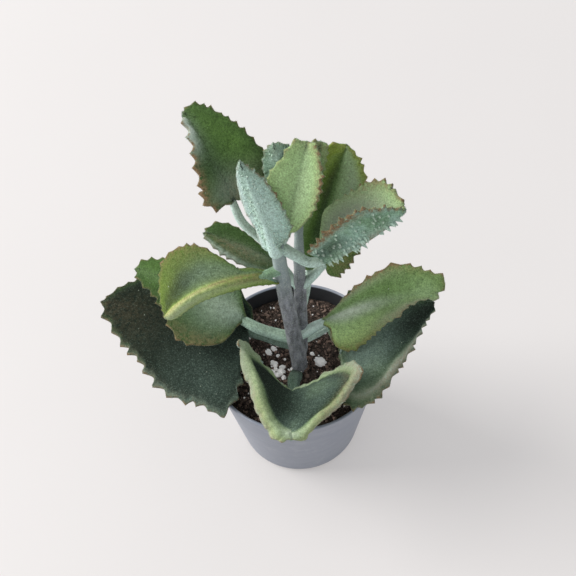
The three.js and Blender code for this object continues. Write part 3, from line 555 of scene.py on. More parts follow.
def half_blade(blade, half, sign, rows, draw):
    """Mid surface of one half as rows from midrib to margin. The flat line of a row is bent by
    walking outwards while its direction turns by fold, curl and rim. Returns the points and, at
    each, its distances from the margin and the midrib, its share along and its tooth height."""
    edge, offset, height, shares = margin(half, blade.length, rows, draw)
    share = shares[:, None]
    width = np.maximum(edge[:, 1], 0)[:, None]
    ring = np.array(OUTER_RING)[::-1]
    squeeze = np.minimum(1, width / (1.6 * ring[0]))
    outer = 1 - ring[None, :] * squeeze / np.maximum(width, 1e-6)
    inner = np.linspace(0, 1, INNER_COLUMNS, endpoint=False)[None, :] ** 1.25 * outer[:, :1]
    across = np.clip(np.hstack([inner, outer]), 0, 1)
    across[:, -1] = 1
    s = (np.arange(WALK_STEPS) + 0.5) / WALK_STEPS
    rim_width = np.minimum(half["rim_width"], RIM_MOST * width)
    rim = half["rim"] * blend(*half["rim_rows"], share)
    rim = rim * np.clip((rim_width - (1 - s) * width) / RIM_TURN, 0, 1)
    first, last = np.broadcast_to(half["fold"], 2)
    fold = first + (last - first) * share
    fold = fold * (FOLD_START + (1 - FOLD_START) * blend(0, half["valley"], s * width))
    turn = np.radians(fold + half["curl"] * s * width / width.max() + rim)
    walk = np.cumsum([np.cos(turn), np.sin(turn)], 2)
    walk = np.concatenate([0 * walk[..., :1], walk], 2) * width / WALK_STEPS
    step = across * WALK_STEPS
    low = np.minimum(step.astype(int), WALK_STEPS - 1)
    rest = step - low
    out, above = (
        np.take_along_axis(way, low, 1) * (1 - rest) + np.take_along_axis(way, low + 1, 1) * rest
        for way in walk)
    on_midrib = blade.length * np.linspace(0, 1, rows + 1)[:-1, None] ** 1.4
    along = on_midrib + (edge[:, :1] - on_midrib) * across
    from_margin = (1 - across) * width
    near = blend(0, 1, 1 - from_margin / (TOOTH_REACH * half["teeth"]))
    lean = turn[:, -1:]
    along = along + offset[:, :1] * near
    out = np.maximum(out + offset[:, 1:] * near * np.cos(lean), 0.02 * out)
    wave = np.stack([shares * whole_length(edge) / WAVE_LENGTH, 0 * shares, 0 * shares + sign], 1)
    wave = noise(wave, 5)[:, None] * half["ripple"] * across ** 3 * blend(2, 12, width)
    above = above + offset[:, 1:] * near * np.sin(lean) + wave
    place = np.stack([from_margin, across * width, along / blade.length], -1)
    tooth = height[:, None] * blend(0, 1, 1 - from_margin / TOOTH_FADE)
    return blade.at(along, sign * out, above), place, tooth


def blade_rows(leaf, blade, draw):
    """Both halves side by side, from the right margin over the midrib to the left one."""
    longest = max(whole_length(smooth_line(leaf[side]["edge"])) for side in ("left", "right"))
    rows = int(np.clip(longest * ROWS_PER_MM, *ROW_LIMITS))
    left = half_blade(blade, leaf["left"], 1, rows, draw)
    right = half_blade(blade, leaf["right"], -1, rows, draw)
    points, place, tooth = (np.concatenate([r[:, :0:-1], l], 1) for l, r in zip(left, right))
    side = np.sign(np.arange(points.shape[1]) - len(OUTER_RING) - INNER_COLUMNS + 1)
    return points, place, tooth, side


def tints(leaf, from_margin, share_along, share_across, side):
    """Sun, bloom, rust and depth of green at each point: each wash is a soft spot, a bell curve of
    the shares along and across, and a rim adds to the margin."""
    brim = np.where(side > 0, leaf["left"]["brim"], leaf["right"]["brim"])
    rim = 1 - blend(0.6, 1.1, from_margin / brim)
    # light_rim pales the margin through deep, partly as painted light on rims that catch the lamp.
    at_rim = {"sun": leaf["sun"], "bloom": leaf["felt_rim"], "rust": 0, "deep": -leaf["light_rim"]}
    for name, strongest in at_rim.items():
        amount = leaf["deep"] if name == "deep" else 0
        for along, across, length, width, strength in leaf["washes"].get(name, ()):
            spot = ((share_along - along) / length) ** 2 + ((side * share_across - across) / width) ** 2
            amount = amount + strength * np.exp(-1.4 * spot)
        at_rim[name] = amount + strongest * rim
    return at_rim


def leaf_mesh(leaf, seed):
    """The whole leaf. Two faces stand off the mid surface by half the thickness, which thins to the
    margin and closes there in a half circle. Noise dents them, veins and the midrib are creases of
    the form exp of minus t squared, and the rib is a bulge of that form below."""
    halves = {side: {**PLAIN_HALF, **leaf[side]} for side in ("left", "right")}
    leaf = {**PLAIN_LEAF, **leaf, **halves}
    draw = np.random.default_rng(seed)
    blade = Blade(leaf)
    middle, place, tooth, side = blade_rows(leaf, blade, draw)
    normal = unit(np.cross(np.gradient(middle, axis=0), np.gradient(middle, axis=1)))
    from_margin, from_midrib, share_along = np.moveaxis(place, -1, 0)
    share_across = from_midrib / np.maximum(from_margin + from_midrib, 1e-6)
    edge = np.clip(from_margin / (0.55 * BLADE_EDGE), 0, 1)
    thickness = BLADE_MIDDLE + (BLADE_EDGE - BLADE_MIDDLE) * share_across
    thickness = thickness * np.sqrt(1 - (1 - edge) ** 2) / 2
    inland = blend(0, 5, from_margin)
    crumple = leaf["crumple"] * rough(middle, CRUMPLE_SIZE, seed + 9, 2)
    dents = rough(middle, DENT_SIZE, seed) * DENT_DEPTH * inland
    dents = dents + crumple * (1 - blend(4, 12, from_margin))
    vein = (share_along * blade.length - VEIN_SLANT * from_midrib) / VEIN_PITCH + 0.13 * side
    vein = np.exp(-((vein % 1 - 0.5) / VEIN_WIDTH) ** 2) * inland * blend(1, 5, from_midrib)
    crease = np.exp(-(from_midrib / CREASE_WIDTH) ** 2) * blend(0, 8, from_margin)
    rib = leaf["stalk"] * (1 - np.clip(share_along / 0.9, 0, 1)) ** 0.9
    bulge = rib * 0.75 * np.exp(-(from_midrib / np.maximum(1.15 * rib, 0.5)) ** 2) * inland
    top = thickness + dents - VEIN_DEPTH[0] * vein - CREASE_DEPTH * crease
    under = thickness - dents + VEIN_DEPTH[1] * vein + bulge
    top, under = middle + normal * top[..., None], middle - normal * under[..., None]
    tint = tints(leaf, from_margin, share_along, share_across, side)
    on_top = 0 * tooth
    on_top[:, [0, -1]] = 0.5
    mesh = Mesh(*LEAF_MARKS)
    upper, lower = (
        mesh.skin(points, margin=from_margin, midrib=from_midrib, under=face, tooth=tooth, **tint)
        for points, face in ((top, on_top), (under, 1)))
    loop = np.concatenate([upper, lower[:, -2:0:-1]], 1)[:, ::-1]
    felted = 0.12 + np.exp(-loop[..., 3] / 1.2)
    closing = loop[-2:-1].copy()
    closing[..., :3] = closing[..., :3] * 0.3 + blade.on_rib(blade.length, 0) * 0.7
    loop = np.concatenate([loop[:-1], closing])
    mesh.tube(loop)
    add_stalk(mesh, leaf, blade, draw)
    for count, length, half, near, far in leaf["fangs"]:
        for _ in range(count):
            row = int(len(under) * draw.uniform(0.06, 0.9))
            goal = draw.uniform(near, far)
            column = int(np.argmin(np.abs(share_across[row] - goal) + 9 * (side != half)))
            root = under[row, column]
            lean = unit(under[min(row + 3, len(under) - 1), column] - root)
            tone = {name: values[row, column] for name, values in tint.items()}
            add_fang(mesh, root, unit(-normal[row, column] + 0.35 * lean), length, tone, draw)
    add_hairs(mesh, loop, LEAF_HAIRS, felted, draw, tooth=0, fang=HAIR_TONE)
    return mesh


def add_stalk(mesh, leaf, blade, draw):
    """Stalk from stem to blade, which sinks into the underside of the midrib."""
    root = np.array(leaf["root"], float)
    reach = np.linalg.norm(blade.base - root)
    thick = leaf["stalk"]
    entry = blade.on_rib(-0.35 * reach, 0.5)
    halfway = root + 0.55 * (entry - root) - np.array([0, 0, 0.03 * reach])
    line = [root, halfway, entry] + [blade.on_rib(share * blade.length, thick * below)
                                     for share, below in ((0.02, 0.5), (0.2, 0.75), (0.3, 0.6))]
    radii = thick * np.array([1.1, 1.0, 0.95, 0.85, 0.55, 0.3])
    rings = sweep(line, radii, STALK_SIDES, STALK_ROWS, blade.left, groove=0.2)
    rings = rings + unit(rings - rings.mean(1, keepdims=True)) * rough(rings, 5)[..., None] * 0.12
    under = 0.72 - 0.1 * circle(STALK_SIDES)[:, 1]
    old = leaf["stalk_deep"]
    bloom = leaf["stalk_felt"] * (1 - old)
    skin = mesh.skin(rings, margin=9, under=under, bloom=bloom, deep=old)
    mesh.tube(skin)
    add_hairs(mesh, skin, STALK_HAIRS, 1, draw, fang=HAIR_TONE)


def add_fang(mesh, root, direction, length, tone, draw):
    """Blunt outgrowth of the underside: rings at FANG_RISE of its length and with FANG_WIDE of its
    radius, the first of them sunk in the blade."""
    length_now = length * draw.uniform(0.6, 1.25)
    radius = draw.uniform(0.8, 1.2) * (0.25 + 0.3 * length)
    across = unit(np.cross(direction, [0.31, 0.52, 0.79]))
    ring = circle(FANG_SIDES) @ np.stack([across, np.cross(direction, across)])
    rise, wide = (np.array(share)[:, None, None] for share in (FANG_RISE, FANG_WIDE))
    rings = root + rise * length_now * direction + radius * wide * ring
    pale = np.linspace(0.1, 1, len(rings))[:, None]
    mesh.tube(mesh.skin(rings, margin=6, midrib=6, under=1, fang=pale, **tone))


def add_hairs(mesh, rings, count, weight, draw, **marks):
    """Felt hairs, each a slim three-sided spike that stands out of a tube's surface with a random
    lean and has a fifth of its length sunk in it. The surface's own direction is the cross product
    of its steps along and round. A hair takes the marks of its root over, other than those named."""
    place = rings[..., :3]
    round_on = np.roll(place, -1, 1) - np.roll(place, 1, 1)
    outward = unit(np.cross(round_on, np.gradient(place, axis=0))).reshape(-1, 3)
    chance = np.broadcast_to(weight, place.shape[:2]).ravel()
    chosen = draw.choice(chance.size, count, p=chance / chance.sum())
    foot = rings.reshape(chance.size, -1)[chosen]
    root = foot[:, :3]
    lean = unit(outward[chosen] + draw.normal(0, HAIR_LEAN, (count, 3)))
    long = draw.uniform(*HAIR_LENGTH, (count, 1))
    across = unit(np.cross(lean, draw.normal(size=(count, 3))))
    ring = circle(3) @ np.stack([across, np.cross(lean, across)], 1)
    corners = (root - 0.2 * long * lean)[:, None] + HAIR_RADIUS * ring
    points = np.concatenate([corners, (root + long * lean)[:, None]], 1)
    taken = {name: foot[:, 3 + k, None] for k, name in enumerate(mesh.marks)}
    points = mesh.skin(points, **{**taken, **marks})
    spike = np.array([(0, 1, 3), (1, 2, 3), (2, 0, 3), (0, 2, 1)])
    mesh.add(points.reshape(4 * count, -1), spike + 4 * np.arange(count)[:, None, None])


# ---- shader expressions ---------------------------------------------------------------------
def operator(operation, swapped=False):
    """A Python operator that adds its Math node; swapped is its reflected form."""
    def act(self, other):
        pair = {0: other, 1: self} if swapped else {0: self, 1: other}
        return self.finish.node("ShaderNodeMath", {"operation": operation}, pair)
    return act


class Wire:
    """An output socket that takes part in Python arithmetic."""
    __add__ = __radd__ = operator("ADD")
    __sub__ = operator("SUBTRACT")
    __rsub__ = operator("SUBTRACT", swapped=True)
    __mul__ = __rmul__ = operator("MULTIPLY")
    __pow__ = operator("POWER")

    def __init__(self, finish, socket):
        self.finish = finish
        self.socket = socket

    def times(self, value):
        """A colour made brighter or darker by a value."""
        return self.finish.node("ShaderNodeVectorMath", {"operation": "SCALE"}, {0: self, "Scale": value})

    def held(self):
        """The value kept between 0 and 1."""
        return self.finish.node("ShaderNodeClamp", {}, {"Value": self})

    def rise(self, low, high):
        """0 up to low, 1 from high on and an even curve between."""
        inputs = {"Value": self, "From Min": low, "From Max": high}
        return self.finish.node("ShaderNodeMapRange", {"interpolation_type": "SMOOTHSTEP"}, inputs)

    def parts(self):
        """The three numbers of a vector."""
        return [self.finish.node("ShaderNodeSeparateXYZ", {}, {"Vector": self}, k) for k in range(3)]


class Finish:
    """A material written as expressions."""

    def __init__(self, name):
        self.material = bpy.data.materials.new(name)
        self.material.use_nodes = True
        self.tree = self.material.node_tree
        self.tree.nodes.clear()

    def node(self, kind, settings, inputs, output=0):
        """Adds a node: its settings first, then the values or links of its sockets."""
        node = self.tree.nodes.new(kind)
        for name, value in settings.items():
            setattr(node, name, value)
        for key, value in inputs.items():
            if isinstance(value, Wire):
                self.tree.links.new(value.socket, node.inputs[key])
            else:
                node.inputs[key].default_value = value
        return Wire(self, node.outputs[output]) if node.outputs else None

    def place(self):
        return self.node("ShaderNodeTexCoord", {}, {}, "Object")

    def vector(self, x, y, z):
        return self.node("ShaderNodeCombineXYZ", {}, {0: x, 1: y, 2: z})

    def mark(self, name):
        """A number that the mesh carries at each point."""
        return self.node("ShaderNodeAttribute", {"attribute_name": name}, {}, "Fac")

    def grain(self, scale, detail=3.0, roughness=0.55, where=None):
        """Noise of so many cells to the metre."""
        inputs = {"Vector": where or self.place(), "Scale": scale, "Detail": detail,
                  "Roughness": roughness}
        return self.node("ShaderNodeTexNoise", {}, inputs, "Fac")

    def cells(self, scale):
        """Distance to the nearest of scattered points, so many to the metre."""
        return self.node("ShaderNodeTexVoronoi", {}, {"Vector": self.place(), "Scale": scale}, "Distance")

    def mix(self, amount, first, second):
        """first where amount is 0 or less and second where it is 1 or more; both are colours."""
        colours = [one if isinstance(one, Wire) else (*one, 1.0) for one in (first, second)]
        inputs = {"Factor": amount, 6: colours[0], 7: colours[1]}
        return self.node("ShaderNodeMix", {"data_type": "RGBA", "clamp_factor": True}, inputs, 2)

    def bump(self, height, distance, strength=1.0, **under):
        """Normal of a relief of a height in metres, over another one if it is given as Normal."""
        inputs = {"Height": height, "Distance": distance, "Strength": strength, **under}
        return self.node("ShaderNodeBump", {}, inputs)

    def surface(self, **sockets):
        """The Principled shader; its sockets' names are written with underscores for spaces."""
        inputs = {name.replace("_", " "): value for name, value in sockets.items()}
        shader = self.node("ShaderNodeBsdfPrincipled", {}, inputs)
        self.node("ShaderNodeOutputMaterial", {}, {"Surface": shader})
        return self.material


# ---- materials ------------------------------------------------------------------------------
def leaf_finish(look):
    """Felted leaf. The green deepens and pales in soft patches, partly as painted shade in valleys and
    under other leaves and painted light on faces that catch the lamp, felt lies over it as a pale bloom
    that thickens to the midrib, the margin turns yellow in the sun and its teeth are rusty, and lit
    crests carry a painted highlight. The underside is a paler blue green with white roots to its
    outgrowths."""
    f = Finish("felted_leaf")
    margin_mm, midrib_mm, under, tooth, fang, sun, bloom, rust, deep = map(f.mark, LEAF_MARKS)
    deep = deep + (f.grain(80, 3) - 0.5) * 0.5
    patches = f.grain(110, 4)
    mottle = f.grain(450, 4, 0.65)
    speck = f.grain(1250, 2, 0.6)
    felt = f.grain(2800, 3, 0.7)
    shade = deep.held()
    # Positive deep darkens toward deep_green, partly as painted shade, and negative deep pales toward
    # light_green, partly as painted light.
    green = f.mix(shade, look.green, look.deep_green)
    green = f.mix(0 - deep, green, look.light_green)
    lit = (sun * (0.45 + patches) + sun * (1 - margin_mm.rise(0, 6)) * 0.3).held()
    green = f.mix(lit * 0.95, green, look.sun_green)
    # Where sun passes 1 it paints a highlight on lit crests and lobes.
    green = f.mix((sun - 1).held() * 0.8, green, look.painted_highlight)
    rib = (1 - midrib_mm.rise(0.5, 6)) * (1 - shade)
    felted = (bloom * 0.8 + rib * 0.07 + 0.03 * (1 - shade)) * (0.35 + mottle * 0.7 + felt * 0.6)
    # Where bloom passes 1 the felt whitens toward the outgrowth colour, partly as painted light on a
    # rolled margin that faces the lamp.
    pale = f.mix(bloom - 1, f.mix(shade, look.felt, look.old_felt), look.fang)
    green = f.mix(felted, green, pale)
    teal = f.mix(patches.rise(0.35, 0.65), look.under_green, look.under_pale)
    teal = f.mix(shade * 0.85, teal, look.under_dark)
    teal = f.mix(bloom * (0.45 + speck * 0.9), teal, look.under_felt)
    leaf = f.mix(under.rise(0.45, 0.8), green, teal)
    leaf = f.mix(fang.rise(0.1, 0.9) * 0.6, leaf, look.fang)
    blade = 1 - fang.rise(0, 0.1)
    brim = (1 - margin_mm.rise(0.25, 1.5)) * mottle.rise(0.3, 0.6) * blade
    rusty = brim * (0.3 + tooth * 0.8) + rust * mottle.rise(0.32, 0.56) * blade
    leaf = f.mix(rusty * 0.8, leaf, look.rust)
    grain = 1 + ((speck - 0.5) * 1.6 + (mottle - 0.5) * 0.9) * (1 - bloom.held() * 0.45)
    # The darkest deep dims the colour further, partly as painted shade.
    leaf = leaf.times(grain * (1 - deep.rise(0.8, 1.8) * 0.55))
    leaf = f.mix(speck.rise(0.52, 0.72) * shade * (0.1 + bloom * 0.5), leaf, look.old_felt)
    dust = (1 - f.cells(190).rise(0.03, 0.09)) * patches.rise(0.5, 0.6) * 0.7
    leaf = f.mix(dust, leaf, look.felt)
    normal = f.bump(felt + speck * 1.5, 0.0006, 0.7, Normal=f.bump(mottle, 0.0012, 0.4))
    return f.surface(Base_Color=leaf, Roughness=0.8 + felt * 0.18, Normal=normal,
                     Sheen_Weight=0.04, Sheen_Roughness=0.5, Specular_IOR_Level=0.15)


def stem_finish(look):
    """Grey-mauve bark with pale felt in fine streaks and darker old scars."""
    f = Finish("stem_skin")
    x, y, z = f.place().parts()
    streak = f.grain(420, 3, 0.5, f.vector(x, y, z * 0.35))
    speck = f.grain(1300, 3, 0.6)
    felt = f.grain(3200, 3, 0.7)
    bark = f.mix(streak.rise(0.25, 0.75), look.stem_dark, look.stem_pale)
    bark = f.mix(z.rise(*YOUNG_STEM) * 0.8, bark, look.stem_young)
    bark = f.mix(speck.rise(0.5, 0.75) * 0.5, bark, look.felt)
    bark = f.mix(f.mark("scar") * 0.5, bark, look.stem_scar)
    bark = bark.times(0.7 + speck * 0.7)
    bark = f.mix(f.mark("hair") * 0.45, bark, look.felt)
    normal = f.bump(felt + speck, 0.0005, 0.6)
    return f.surface(Base_Color=bark, Roughness=0.85 + felt * 0.1, Normal=normal, Sheen_Weight=0.15,
                     Sheen_Roughness=0.5, Specular_IOR_Level=0.2)


def soil_finish(look):
    """Dark damp potting mix: fibres and crumbs from black to red brown."""
    f = Finish("potting_mix")
    shade = f.mark("crumb")
    fine = f.grain(1500, 4, 0.7)
    base = f.mix(f.grain(260, 4, 0.6) * 0.5 + shade - 0.28, look.soil_dark, look.soil_brown)
    base = f.mix(fine.rise(0.5, 0.68) * (0.25 + shade * 0.7), base, look.soil_red)
    return f.surface(Base_Color=base, Roughness=0.75 + fine * 0.25, Normal=f.bump(fine, 0.0009, 0.9),
                     Specular_IOR_Level=0.3)


def perlite_finish(look):
    """Chalky white grains with fine pores and a little soil in their hollows."""
    f = Finish("perlite")
    pores = f.cells(1500)
    base = f.mix(f.grain(500, 4, 0.6).rise(0.55, 0.8) * 0.4, look.perlite, look.perlite_stain)
    base = f.mix((1 - pores.rise(0.05, 0.3)) * 0.15, base, look.soil_brown)
    # The emission makes the grains glow faintly in their own colour: painted light, no lamp, that
    # brightens grains the leaves shade.
    return f.surface(Base_Color=base, Roughness=0.9, Normal=f.bump(pores, 0.0004, 0.6),
                     Emission_Color=base, Emission_Strength=0.12)


def pot_finish(look):
    """Grey nursery-pot plastic: faint moulding swirl, scuffs and pale dust outside, black inside."""
    f = Finish("pot_plastic")
    x, y, z = f.place().parts()
    swirl = f.grain(60, 3, 0.5, f.vector(x * 0.4, y * 0.4, z * 3))
    dust = f.grain(140, 5, 0.65)
    scuff = f.grain(700, 5, 0.55, f.vector(x + z * 0.7, y - z * 0.5, z * 0.3)).rise(0.66, 0.74)
    scuff = scuff * f.grain(40, 2).rise(0.5, 0.62)
    depth = FOOT_RADIUS * MM + z * WALL_SLOPE - (x * x + y * y) ** 0.5
    below_lip = 1 - z.rise((POT_HEIGHT - 0.8) * MM, (POT_HEIGHT - 0.2) * MM)
    inside = depth.rise(0.6 * MM, 0.9 * MM) * below_lip
    base = f.mix(swirl.rise(0.3, 0.7), look.pot, look.pot_pale)
    base = f.mix(dust.rise(0.5, 0.75) * 0.25, base, look.pot_dust)
    base = f.mix(scuff * 0.7, base, look.pot_dust)
    base = f.mix(inside * 0.95, base, look.pot_inside)
    normal = f.bump(f.grain(2400, 3), 0.00008, 0.5, Normal=f.bump(swirl, 0.0006, 0.2))
    return f.surface(Base_Color=base, Roughness=0.4 + dust * 0.15 + scuff * 0.25, Normal=normal,
                     Specular_IOR_Level=0.5)


def floor_finish(look):
    """Plain pale floor."""
    f = Finish("pale_floor")
    cloud = f.grain(3, 3)
    tone = f.mix(cloud, look.floor, look.floor_shade)
    return f.surface(Base_Color=tone, Roughness=0.6 + cloud * 0.1, Emission_Color=tone,
                     Emission_Strength=0.8)


# ---- settings -------------------------------------------------------------------------------
def tint(name, description, value):
    return bpy.props.FloatVectorProperty(
        name=name, description=description, subtype="COLOR", size=3, min=0, max=1, default=value)


class KalanchoeLook(bpy.types.PropertyGroup):
    """Colours of the plant, its pot and the stage."""
    green: tint("Leaf green", "Upper face of a leaf", (0.085, 0.175, 0.03))
    deep_green: tint("Deep green", "Upper face in old or shaded leaves", (0.014, 0.029, 0.016))
    # light_green is also painted light where negative deep pales faces that catch the lamp.
    light_green: tint("Light green", "Upper face of a young leaf", (0.39, 0.57, 0.26))
    sun_green: tint("Sun green", "Yellowed parts of a leaf", (0.24, 0.33, 0.035))
    # This crest colour is a painted highlight on lit crests and lobes, where sun passes 1.
    painted_highlight: tint("Painted highlight", "Highlight painted on lit crests and lobes", (0.6, 0.58, 0.2))
    felt: tint("Felt", "Pale hairs that cover leaf and stem", (0.46, 0.53, 0.42))
    old_felt: tint("Old felt", "Hairs of old or shaded leaves", (0.29, 0.41, 0.34))
    under_green: tint("Underside", "Underside of a leaf", (0.2, 0.34, 0.21))
    under_pale: tint("Pale underside", "Thickly felted underside", (0.31, 0.48, 0.38))
    under_dark: tint("Dark underside", "Underside of an old leaf", (0.05, 0.08, 0.055))
    under_felt: tint("Underside felt", "Mint-white felt of the underside", (0.64, 0.83, 0.76))
    fang: tint("Outgrowth", "Blunt outgrowths of the underside", (0.62, 0.72, 0.62))
    rust: tint("Rust", "Teeth and scorched spots", (0.225, 0.155, 0.082))
    stem_dark: tint("Stem dark", "Bark between the felt", (0.1, 0.105, 0.118))
    stem_pale: tint("Stem pale", "Felted bark", (0.27, 0.283, 0.315))
    stem_young: tint("Young stem", "Upper end of a stem", (0.3, 0.38, 0.37))
    stem_scar: tint("Stem scar", "Old leaf scars", (0.1, 0.085, 0.08))
    soil_dark: tint("Soil dark", "Damp crumbs", (0.018, 0.013, 0.01))
    soil_brown: tint("Soil brown", "Drier crumbs", (0.34, 0.235, 0.185))
    soil_red: tint("Soil red", "Bark fibres", (0.5, 0.36, 0.3))
    perlite: tint("Perlite", "White grains", (0.96, 0.95, 0.93))
    perlite_stain: tint("Stained perlite", "Hollows of the grains", (0.42, 0.39, 0.36))
    pot: tint("Pot", "Plastic of the pot", (0.225, 0.25, 0.305))
    pot_pale: tint("Pale pot", "Paler swirls of the plastic", (0.26, 0.28, 0.33))
    pot_inside: tint("Pot inside", "Black inner wall of the pot", (0.02, 0.02, 0.022))
    pot_dust: tint("Dust", "Scuffs and dust on the pot", (0.5, 0.51, 0.53))
    floor: tint("Floor", "Floor of the stage", (0.42, 0.405, 0.4))
    floor_shade: tint("Floor shade", "Faint clouds of the floor", (0.4, 0.385, 0.38))


class KalanchoeSizes(bpy.types.PropertyGroup):
    """Sizes that a user would change."""
    pot_sides: bpy.props.IntProperty(
        name="Pot sides", description="Steps round the pot", default=192, min=24, max=512)
    crumbs: bpy.props.IntProperty(
        name="Crumbs", description="Loose crumbs on the soil", default=4200, min=0, max=6000)
    grains: bpy.props.IntProperty(
        name="Perlite grains", description="Small perlite grains on the soil", default=70, min=0, max=500)
    lens: bpy.props.FloatProperty(
        name="Lens", description="Focal length of the camera, in millimetres on a 36 mm sensor",
        default=53.1, min=10, max=200)
    distance: bpy.props.FloatProperty(
        name="Distance", description="From the camera to the point it looks at", default=0.459,
        unit="LENGTH")
    pitch: bpy.props.FloatProperty(
        name="Pitch", description="How far the camera looks down", default=math.radians(53.44),
        subtype="ANGLE")
    roll: bpy.props.FloatProperty(
        name="Roll", description="Tilt of the camera about its view", default=math.radians(-4.08),
        subtype="ANGLE")
    target: bpy.props.FloatVectorProperty(
        name="Target", description="Point that the camera looks at", size=3, unit="LENGTH",
        default=(-0.0018, 0.0, 0.1488))


# ---- pieces ---------------------------------------------------------------------------------
def at_heights(radii, heights, ring):
    """Rings on the Z axis, each a unit circle times its radius at its height."""
    return np.stack([np.column_stack([radius * ring, np.full(len(ring), height)])
                     for radius, height in zip(radii, heights)])


def rounded(profile, radius, steps=4):
    """Each inner corner of an outline replaced by a short curve: a parabola that starts and ends
    radius before and after the corner, or less on a short side."""
    points = [np.array(p, float) for p in profile]
    out = [points[0]]
    for before, corner, after in zip(points, points[1:], points[2:]):
        start, end = (
            corner + side * (min(radius, np.linalg.norm(side) * 0.45) / np.linalg.norm(side))
            for side in (before - corner, after - corner))
        for t in np.linspace(0, 1, steps):
            out.append((1 - t) ** 2 * start + 2 * t * (1 - t) * corner + t ** 2 * end)
    return np.array(out + [points[-1]])


def wall_radius(z):
    """Radius of the pot's outer wall below the collar."""
    return FOOT_RADIUS + WALL_SLOPE * z


def inner_radius(z):
    """Radius of the mix, a gap inside the pot's wall."""
    return wall_radius(z) - WALL - GAP


def pot_profile():
    """Outline of the pot's section from the middle of the underside, up the outside and back down
    the inside to the middle of the floor."""
    collar = POT_HEIGHT - COLLAR_HEIGHT
    below = wall_radius(collar)
    return [
        (0, 0), (HUB_RADIUS, 0), (HUB_RADIUS + 1, 0.8), (FOOT_RADIUS - 8, 0.8), (FOOT_RADIUS - 7, 0),
        (FOOT_RADIUS - 1.5, 0), (wall_radius(3), 3), (below, collar), (below + COLLAR_STEP, collar + 0.6),
        (RIM_RADIUS - 0.3, POT_HEIGHT - 1.4), (RIM_RADIUS, POT_HEIGHT - 0.5),
        (RIM_RADIUS - 0.7, POT_HEIGHT), (RIM_RADIUS - 2, POT_HEIGHT - 0.6), (below - WALL, collar - 1),
        (wall_radius(POT_FLOOR) - WALL, POT_FLOOR), (0, POT_FLOOR)]


class KALANCHOE_OT_pot(bpy.types.Operator):
    """Nursery pot with its collar, lip and drain holes"""
    bl_idname = "kalanchoe.pot"
    bl_label = "Pot"

    def execute(self, context):
        scene = context.scene
        shell = Mesh()
        radii, heights = rounded(pot_profile(), 0.8)[1:-1].T
        shell.tube(at_heights(radii, heights, circle(scene.kalanchoe_sizes.pot_sides, 0.5)))
        piece = shell.build("pot_shell")
        cutters = Mesh()
        for centre in circle(DRAINS, 0.5) * DRAIN_CIRCLE:
            ring = at_heights((DRAIN_RADIUS,) * 2, (-2.0, POT_FLOOR + 2), circle(32))
            cutters.tube(ring + np.append(centre, 0))
        tool = cutters.build("drain_cutter")
        cut = piece.modifiers.new("drains", "BOOLEAN")
        cut.operation = "DIFFERENCE"
        cut.solver = "EXACT"
        cut.object = tool
        bake_modifiers(piece)
        bpy.data.objects.remove(tool)
        dress(piece, pot_finish(scene.kalanchoe_look), "pot_plastic", "pot")
        return {"FINISHED"}


def bake_modifiers(piece):
    """Replaces the mesh of a piece by what its modifiers make of it."""
    graph = bpy.context.evaluated_depsgraph_get()
    mesh = bpy.data.meshes.new_from_object(piece.evaluated_get(graph))
    piece.modifiers.clear()
    old = piece.data
    piece.data = mesh
    bpy.data.meshes.remove(old)


def soil_height(x, y):
    """Height of the soil: level, raised a little round the stems, lower at the wall, with rough
    crumbs of two sizes."""
    reach = np.hypot(x, y)
    mound = np.exp(-((x - 2) ** 2 + (y + 4) ** 2) / 160)
    flat = np.stack([x, y, 0 * x], -1)
    lumps = rough(flat, 7, 3) * 0.7 + rough(flat, 2.6, 9) * 0.5
    return SOIL_TOP - 0.6 + mound + lumps - 1.5 * blend(38, 47, reach)


def lump(x, y, above, size, draw, rows, sides, flatness=0.8):
    """A small uneven grain, its middle above the soil by that share of its size: a sphere on a grid
    of latitude and longitude with rough radii, squeezed along three random axes."""
    polar = np.linspace(0.12, math.pi - 0.12, rows)[:, None]
    around = np.arange(sides) * 2 * math.pi / sides
    ball = np.stack([np.sin(polar) * np.cos(around), np.sin(polar) * np.sin(around),
                     np.cos(polar) + 0 * around], -1)
    ball = ball * draw.uniform(0.68, 1.18, ball.shape[:2])[..., None]
    ball = ball * np.array([1, draw.uniform(0.55, 1), draw.uniform(0.5, flatness)])
    turn, _ = np.linalg.qr(draw.normal(size=(3, 3)))
    if np.linalg.det(turn) < 0:
        turn[:, 0] *= -1
    z = soil_height(np.array(x, float), np.array(y, float)) + above * size
    return np.array([x, y, z]) + size * (ball[::-1] @ turn.T)


class KALANCHOE_OT_soil(bpy.types.Operator):
    """Potting mix with its loose crumbs"""
    bl_idname = "kalanchoe.soil"
    bl_label = "Soil"

    def execute(self, context):
        scene = context.scene
        draw = np.random.default_rng(4)
        ring = circle(SOIL_SIDES)
        low = POT_FLOOR + GAP
        heights = np.array([low, low, 25.0, 50.0])
        radii = inner_radius(heights)
        radii[0] = SOIL_CENTRE
        reach = np.linspace(SOIL_CENTRE, inner_radius(SOIL_TOP - 2), SOIL_ROWS)[::-1]
        flat = reach[:, None, None] * ring
        top = np.dstack([flat, soil_height(flat[..., 0], flat[..., 1])])
        mesh = Mesh("crumb")
        mesh.tube(mesh.skin(np.concatenate([at_heights(radii, heights, ring), top]), crumb=0.1))
        for _ in range(scene.kalanchoe_sizes.crumbs):
            x, y = draw.uniform(-46, 46, 2)
            size = 0.45 + 1.25 * draw.random() ** 2.5
            if np.hypot(x, y) <= inner_radius(SOIL_TOP) - 1.2 * size - 0.5:
                grain = lump(x, y, 0.3, size, draw, rows=4, sides=6)
                mesh.tube(mesh.skin(grain, crumb=draw.random()))
        piece = mesh.build("potting_mix")
        dress(piece, soil_finish(scene.kalanchoe_look), "potting_mix", "soil")
        return {"FINISHED"}


